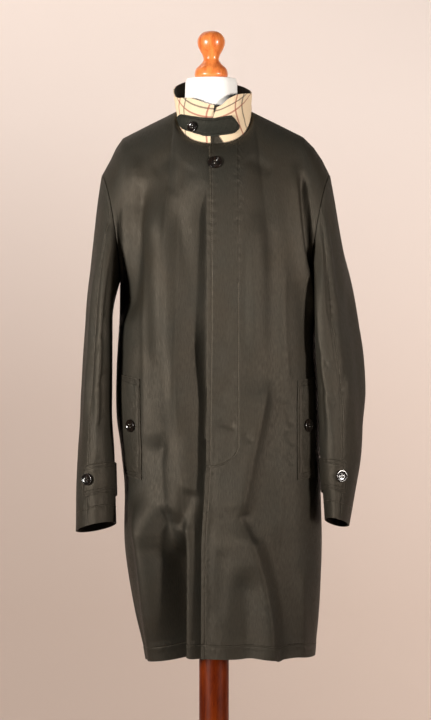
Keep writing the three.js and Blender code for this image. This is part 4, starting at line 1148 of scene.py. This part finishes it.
edge_z = np.linspace(503, CHEST_Z, 260)
edge_x = fly_edge(edge_z) + EDGE_STITCH
fly_x, fly_z = fly_line()
low = fly_z <= CHEST_Z
edge_share = share_at("front_left", 1, edge_x[-1], CHEST_Z)
above = np.linspace(CHEST_SHARE, 0.985, 60)
hem_share = np.linspace(0.01, 0.99, 160)
hem_v = {face: HEM_DEPTH / (CHEST_Z - HEM[face]) * CHEST_SHARE for face in ("front", "back")}
sew("stitches_front_left", [
    line_on_panel("front_left", "left", edge_x, edge_z),
    panel("front_left", "left", edge_share, above),
    line_on_panel("front_left", "left", fly_x[low], fly_z[low]),
    panel("front_left", "left", hem_share, hem_v["front"]),
])
sew("stitches_front_right", [panel("front_right", "right", hem_share[30:], hem_v["front"])])
sew("stitches_back", [panel("back", name, hem_share, hem_v["back"]) for name in SIDE])

for side_name in SIDE:
    on_sleeve = partial(sleeve, side_name)
    cuff_hem = CUFF_HEM_DEPTH / (CAP_Z - CUFF_Z[side_name]) * CAP_SHARE
    sleeve_rows = []
    for s, v in (
        (np.full(200, SLEEVE_SEAM["front"] - 6 / SLEEVE_ROUND), np.linspace(0.02, 0.94, 200)),
        (np.linspace(0.205, 1.195, 200), np.full(200, cuff_hem)),
    ):
        sleeve_rows.append((on_sleeve(s, v), normals_of(on_sleeve, s, v, ARM_MIDDLE[side_name])))
    sew(f"stitches_sleeve_{side_name}", sleeve_rows)

# ------------------------------------------------------------------ buttons
# Turned four-hole buttons of dark horn with a raised rim and a dished face, polished, and sewn on with
# two bars of thread.

BUTTON = {
    "button_top": 12.5, "button_throat": 9.5, "button_welt_left": 11.5, "button_welt_right": 11.5,
    "button_cuff_left": 11, "button_cuff_right": 11,
}
BUTTON_SIDES = 72
BUTTON_HOLE, BUTTON_HOLE_OFFSET = 0.12, 0.2  # a hole's radius and place, as shares of the button's
BAR_RINGS, BAR_SIDES, BAR_RADIUS = 14, 8, 0.45  # a bar of thread through two holes
# Share of the radius and height, from the middle of the face over the rim to the middle of the back.
BUTTON_PROFILE = [(0.0, 2.2), (0.3, 2.2), (0.55, 2.25), (0.64, 2.45), (0.75, 3.2), (0.82, 3.42),
                  (0.9, 3.4), (0.97, 3.0), (1.0, 2.2), (1.0, 1.3), (0.95, 0.5), (0.8, 0.0), (0.0, 0.0)]


def two_tones(add, share, places, tones):
    """A ramp between two tones, given as sRGB hex, at their places on the share."""
    ramp = add("ValToRGB", {"Fac": share})
    for element, place, tone in zip(ramp.color_ramp.elements, places, tones):
        element.position = place
        element.color = linear(tone)
    return ramp


def horn(name):
    """Dark horn: near black with brown streaks, polished, with a clear gloss and fine scratches."""
    material, add = new_material(name)
    place = add("TexCoord").outputs["Object"]
    streak = noise(add, add("Mapping", {"Vector": place, "Scale": (1.0, 1.0, 0.25)}), 260.0, 4.0)
    return finish_material(material, add, {
        "Base Color": two_tones(add, streak, (0.42, 0.72), ("0d0a08", "231711")),
        "Roughness": 0.16, "IOR": 1.55, "Coat Weight": 0.4, "Coat Roughness": 0.05,
        "Normal": bump(add, noise(add, place, 1500.0, 2.0), 0.08, 0.0002),
    })


def button_form(radius):
    """The button as a turned profile carried round its axis, with four holes pressed through its face
    on a square: the face drops where it lies inside a hole."""
    profile = np.array(BUTTON_PROFILE)
    knots = np.linspace(0, len(profile) - 1, 56)
    r = np.interp(knots, np.arange(len(profile)), profile[:, 0]) * radius
    height = np.interp(knots, np.arange(len(profile)), profile[:, 1])
    sides = BUTTON_SIDES
    turn = np.linspace(0, 2 * np.pi, sides, endpoint=False)
    x, y = r[1:-1, None] * np.cos(turn), r[1:-1, None] * np.sin(turn)
    z = np.repeat(height[1:-1, None], sides, 1)
    hole, offset = BUTTON_HOLE * radius, BUTTON_HOLE_OFFSET * radius
    for sx in (-1, 1):
        for sy in (-1, 1):
            gap = np.hypot(x - sx * offset, y - sy * offset)
            upper = knots[1:-1, None] < 5
            z = z - np.where(upper, 1.7 * smooth((hole - gap) / (0.25 * hole) + 0.5), 0)
    ring = np.stack([x, y, z], -1).reshape(-1, 3)
    vertices = np.concatenate([[[0, 0, height[0]]], ring, [[0, 0, height[-1]]]])
    quads = ring_faces(len(knots) - 2, sides, 1)[:, [0, 3, 2, 1]]
    j = np.arange(sides)
    after = (j + 1) % sides
    cap = np.stack([np.zeros(sides, int), 1 + j, 1 + after], -1)
    last = len(vertices) - 1
    foot = np.stack([np.full(sides, last), last - sides + after, last - sides + j], -1)
    return vertices, quads.tolist() + cap.tolist() + foot.tolist()


def button_axis(node):
    """A packed button's middle of its back face and its axis: the direction in which it is thinnest,
    pointing away from its flat back."""
    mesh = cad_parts[node].data
    co = np.zeros(len(mesh.vertices) * 3)
    mesh.vertices.foreach_get("co", co)
    co = np.unique(np.round(co.reshape(-1, 3) / MM, 3), axis=0)
    middle = (co.max(0) + co.min(0)) / 2
    axis = np.linalg.eigh(np.cov((co - co.mean(0)).T))[1][:, 0]
    axis = axis * (1 if axis @ (middle - np.array([0, 0, middle[2]])) > 0 else -1)
    along = (co - co.mean(0)) @ axis
    return co.mean(0) + axis * along.min(), axis


def to_place(vertices, foot, axis):
    """Turns a form that stands on z = 0 so that it stands on a foot point along an axis."""
    across = np.cross([0, 0, 1.0], axis)
    across /= np.linalg.norm(across)
    up = np.cross(axis, across)
    return foot + vertices[:, :1] * across + vertices[:, 1:2] * up + vertices[:, 2:] * axis


dark_horn = horn("dark_horn")
button_thread = polyester_thread("button_thread", "2a261f")
for name, radius in BUTTON.items():
    foot, axis = button_axis(name)
    vertices, faces = button_form(radius)
    piece = make_object(name + "_horn", to_place(vertices, foot, axis), faces, dark_horn, "horn")
    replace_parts(piece, name)
    offset = BUTTON_HOLE_OFFSET * radius
    t = np.linspace(0, np.pi, BAR_RINGS)
    ring = np.linspace(0, 2 * np.pi, BAR_SIDES, endpoint=False)
    bars = []
    for sy in (-1, 1):
        line = points(offset * np.cos(t), sy * offset, 1.6 + 1.1 * np.sin(t))
        tube = line[:, None] + BAR_RADIUS * points(
            np.cos(t)[:, None] * np.cos(ring), np.sin(ring)[None] * np.ones((BAR_RINGS, 1)),
            np.sin(t)[:, None] * np.cos(ring))
        bars.append(tube.reshape(-1, 3))
    quads = ring_faces(BAR_RINGS, BAR_SIDES)
    count = BAR_RINGS * BAR_SIDES
    ends = [list(range(BAR_SIDES))[::-1], list(range(count - BAR_SIDES, count))]
    one_bar = quads.tolist() + ends
    bar_faces = [[corner + first for corner in face] for first in (0, count) for face in one_bar]
    make_object(name + "_thread", to_place(np.concatenate(bars), foot, axis), bar_faces,
                button_thread, "horn")

# ------------------------------------------------------------------ dress form
# A torso shell covered in white cotton jersey, pulled tight and smooth over the shoulders and neck.

FORM = {
    "z": [862, 930, 1010, 1100, 1185, 1300, 1370, 1405, 1422, 1431, 1440, 1450, 1462, 1470, 1474, 1481,
          1488, 1502, 1530, 1537],
    "x": [0, 0, 0, 0, 0, 0, 0, 0, 0, 0, 0, 0, 0, 0, -1, -3, -4, -5, -5, -5],
    "width": [138, 140, 128, 134, 142, 152, 162, 164, 152, 152, 140, 119, 95, 79, 62, 55, 51, 48, 47, 45],
    "front": [104, 104, 96, 104, 112, 100, 82, 60, 48, 42, 40, 32, 22, 12, 16, 45, 47, 47, 47, 45],
    "back": [98, 96, 84, 86, 92, 96, 84, 62, 48, 42, 40, 32, 22, 12, 18, 46, 48, 47, 47, 45],
    "neck": [0, 0, 0, 0, 0, 0, 0, 0, 6, 9, 10, 17, 25, 34, 31, 0, 0, 0, 0, 0],
    "power": [2, 2, 2, 2, 2, 2, 2, 2, 1.4, 1.4, 1.4, 1.4, 1.4, 1.4, 1.5, 2, 2, 2, 2, 2],
}
NECK_SPREAD = 34
FORM_Z, NECK_TOP_Z = 862.5, 1537
FORM_SIDES = 120


def closed_rings(rings):
    """Points and outward faces of a stack of closed rings, with a middle point at each end."""
    rows, sides = rings.shape[:2]
    vertices = np.concatenate([rings.reshape(-1, 3), [rings[0].mean(0)], [rings[-1].mean(0)]])
    faces = ring_faces(rows, sides).tolist()
    for k in range(sides):
        after = (k + 1) % sides
        faces.append([rows * sides, after, k])
        faces.append([rows * sides + 1, (rows - 1) * sides + k, (rows - 1) * sides + after])
    return vertices, faces


def form_rings(heights, sides):
    """The torso: superellipses read from FORM, with a swelling in front and behind where the neck
    grows out of the shoulders."""
    z = heights[:, None]
    value = {key: np.interp(z, FORM["z"], FORM[key]) for key in FORM}
    angle = np.linspace(0, 2 * np.pi, sides, endpoint=False)[None]
    across = value["width"] * power(np.cos(angle), 2 / value["power"])
    sine = np.sin(angle)
    bump = value["neck"] * np.exp(-((across / NECK_SPREAD) ** 2))
    deep = np.where(sine < 0, value["front"], value["back"]) * np.abs(sine) ** (2 / value["power"])
    return points(value["x"] + across, np.sign(sine) * (deep + bump * np.abs(sine)), z)


def jersey(name):
    """White cotton jersey: knit ribs 1.2 mm apart that run up the form, soft and matt."""
    material, add = new_material(name)
    place = add("TexCoord").outputs["Object"]
    rib = add("TexWave", {"Vector": place, "Scale": 262.0, "Distortion": 1.0}, wave_type="RINGS",
              rings_direction="Z").outputs["Fac"]
    fuzz = noise(add, place, 500.0, 3.0)
    return finish_material(material, add, {
        "Base Color": mix(add, fuzz, "f4f2ee", "fefefc"), "Roughness": 0.9,
        "Normal": bump(add, fuzz, 0.25, 0.0005, bump(add, rib, 0.15, 0.0003)),
        "Specular IOR Level": 0.2, "Sheen Weight": 0.3, "Sheen Roughness": 0.5,
    })


white_jersey = jersey("white_jersey")
heights = np.concatenate([np.linspace(FORM_Z, 1474, 150), np.linspace(1476, NECK_TOP_Z, 50)])
vertices, faces = closed_rings(form_rings(heights, FORM_SIDES))
torso = make_object("form_torso_jersey", vertices, faces, white_jersey, "jersey")
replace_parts(torso, "form_torso")

# ------------------------------------------------------------------ finial, pole and base
# Turned beech, stained and lacquered: the finial honey orange, the pole and the round base red brown.

FORM_BOTTOM_Z = 862
BASE_RADIUS = 180
BASE_HEIGHT = 34
POLE_RADIUS = 27
FINIAL = {
    "r": [24, 29.3, 29.9, 27.4, 18, 14.1, 15.8, 20.9, 24.4, 24.8, 20, 11, 0.2],
    "z": [0, 4, 11, 18.5, 28, 34.5, 43, 52, 61, 71, 80, 86, 87.5],
}
BASE = {
    "r": [BASE_RADIUS - 2, BASE_RADIUS, BASE_RADIUS, BASE_RADIUS - 6, BASE_RADIUS - 60, POLE_RADIUS + 22],
    "z": [0, 2, 16, 22, BASE_HEIGHT - 4, BASE_HEIGHT],
}


def turned(radii, heights, middle, floor, sides=96):
    """Rings of a turned piece: a radius at each height, carried round an upright axis."""
    angle = np.linspace(0, 2 * np.pi, sides, endpoint=False)[None]
    r, z = np.asarray(radii, float)[:, None], np.asarray(heights, float)[:, None]
    return points(middle + r * np.cos(angle), r * np.sin(angle), floor + z)


def lacquered_wood(name, light, dark, roughness, coat, gloss):
    """Stained beech: fine grain that runs up the piece, short dark flecks 1 mm wide, under lacquer."""
    material, add = new_material(name)
    place = add("TexCoord").outputs["Object"]
    along = add("Mapping", {"Vector": place, "Scale": (1.0, 1.0, 0.12)})
    grain = noise(add, along, 95.0, 6.0, Roughness=0.6, Distortion=0.4)
    broad = math(add, "MULTIPLY_ADD", grain, 0.75, 0.0)
    share = math(add, "MULTIPLY_ADD", noise(add, along, 900.0, 2.0), 0.25, broad)
    return finish_material(material, add, {
        "Base Color": two_tones(add, share, (0.36, 0.62), (dark, light)), "Roughness": roughness,
        "Normal": bump(add, share, 0.06, 0.0005), "Coat Weight": coat, "Coat Roughness": 0.08,
        "Specular IOR Level": gloss,
    })


honey_beech = lacquered_wood("honey_beech", "f4914a", "c85f26", 0.32, 0.5, 0.5)
stained_beech = lacquered_wood("stained_beech", "8b3507", "5e1a00", 0.42, 0.06, 0.15)

height = np.linspace(0, 87.5, 90)
radius = curve(FINIAL["z"], FINIAL["r"], height)
vertices, faces = closed_rings(turned(radius, height, NECK_X, NECK_TOP_Z + SEAM))
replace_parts(make_object("finial_wood", vertices, faces, honey_beech, "finial_wood"), "finial")

pole_length = FORM_BOTTOM_Z - BASE_HEIGHT - 2 * SEAM
height = np.linspace(0, pole_length, 60)
vertices, faces = closed_rings(turned(np.full(60, POLE_RADIUS), height, 0, BASE_HEIGHT + SEAM))
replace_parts(make_object("pole_wood", vertices, faces, stained_beech, "stand_wood"), "pole")

along = np.linspace(0, 5, 61)
radius, height = (np.interp(along, np.arange(6), BASE[key]) for key in ("r", "z"))
vertices, faces = closed_rings(turned(radius, height, 0, 0))
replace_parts(make_object("base_wood", vertices, faces, stained_beech, "stand_wood"), "base")

# ------------------------------------------------------------------ studio
# A pale seamless paper sweep, two soft lights in front at 45 degrees to both sides, a weak one from
# above, two on the paper, and a level camera five metres in front.

CAMERA_DISTANCE = 5.0
PICTURE_HEIGHT = 1.31  # of the object's middle plane, in metres
SENSOR = 24.0  # height of the camera's sensor
CAMERA_X, CAMERA_Z = 0.0027, 1.026


def paper(name):
    """Matt backdrop paper, warm pale pink with painted shade towards the floor, and clear from behind."""
    material, add = new_material(name)
    axes = add("SeparateXYZ", {"Vector": add("TexCoord").outputs["Object"]})
    # painted shade: the pink is darker low on the paper, standing in for the light's fall towards the
    # floor
    tone = mix(add, spread(add, axes.outputs["Z"], 0.35, 1.7), "d6c6bc", "e9dfda")
    front = add("BsdfPrincipled", {"Base Color": tone, "Roughness": 0.95, "Specular IOR Level": 0.1})
    behind = add("NewGeometry").outputs["Backfacing"]
    one_sided = add("MixShader", {0: behind, 1: front, 2: add("BsdfTransparent")})
    return finish_material(material, add, one_sided)


# The sweep is one curved sheet, floor, quarter round and wall: a profile in y and z carried along x.
turn = np.linspace(0, np.pi / 2, 24)
y = np.concatenate([[-9000], 1600 + 900 * np.sin(turn), [2500]])
z = np.concatenate([[-1], -1 + 900 * (1 - np.cos(turn)), [5200]])
grid = points(np.array([[-6000.0, 6000.0]]), y[:, None], z[:, None])
sweep = smooth_object("paper_sweep", grid.reshape(-1, 3), grid_faces(len(y), 2), paper("backdrop_paper"))


def soft_light(name, place, aim, size, power_watts, tone, spread=180):
    """An area light at a place, turned to face the aim, whose grid narrows it to a spread in degrees."""
    lamp = bpy.data.lights.new(name, "AREA")
    lamp.shape = "RECTANGLE"
    lamp.size, lamp.size_y = size
    lamp.energy = power_watts
    lamp.spread = np.radians(spread)
    lamp.color = linear(tone)[:3]
    light = bpy.data.objects.new(name, lamp)
    light.location = place
    direction = np.array(aim) - np.array(place)
    yaw = np.arctan2(direction[0], -direction[1])
    pitch = np.arctan2(np.hypot(direction[0], direction[1]), -direction[2])
    light.rotation_euler = (pitch, 0, yaw + np.pi)
    light.visible_camera = False
    bpy.context.scene.collection.objects.link(light)


soft_light("key", (-3.2, -3.2, 1.2), (0, 0, 1.4), (0.6, 0.9), 15.4, "fffaf4", 40)
soft_light("fill", (3.5, -2.8, 1.2), (0, 0, 1.4), (0.6, 0.9), 8.8, "fff6ee", 40)
soft_light("top", (0.1, -0.9, 3.4), (0, 0, 1.2), (1.4, 1.0), 0.6, "fff8f0")
soft_light("wall", (1.3, 0.6, 1.0), (0.4, 2.5, 0.7), (0.8, 1.4), 21, "fff4ec")
soft_light("wall_top", (-1.0, 0.9, 2.9), (-1.1, 2.5, 1.3), (2.4, 0.5), 42, "fff6ee")

# The room past the paper: dim as a light, pale to look at.
world = bpy.data.worlds.new("studio")
world.use_nodes = True
glow = world.node_tree.nodes["Background"]
glow.inputs["Color"].default_value = linear("f6f2ee")
glow.inputs["Strength"].default_value = 0.03
pale = add_node(world, "Background", {"Color": linear("dccfc6"), "Strength": 0.8})
looked_at = add_node(world, "LightPath").outputs["Is Camera Ray"]
room = add_node(world, "MixShader", {0: looked_at, 1: glow, 2: pale})
world.node_tree.links.new(room.outputs[0], world.node_tree.nodes["World Output"].inputs["Surface"])
bpy.context.scene.world = world
bpy.context.scene.view_settings.view_transform = "Standard"

camera_data = bpy.data.cameras.new("camera")
camera_data.sensor_fit = "VERTICAL"
camera_data.sensor_height = SENSOR
camera_data.lens = SENSOR * CAMERA_DISTANCE / PICTURE_HEIGHT
camera = bpy.data.objects.new("camera", camera_data)
camera.location = (CAMERA_X, -CAMERA_DISTANCE, CAMERA_Z)
camera.rotation_euler = (np.pi / 2, 0, 0)
bpy.context.scene.collection.objects.link(camera)
bpy.context.scene.camera = camera
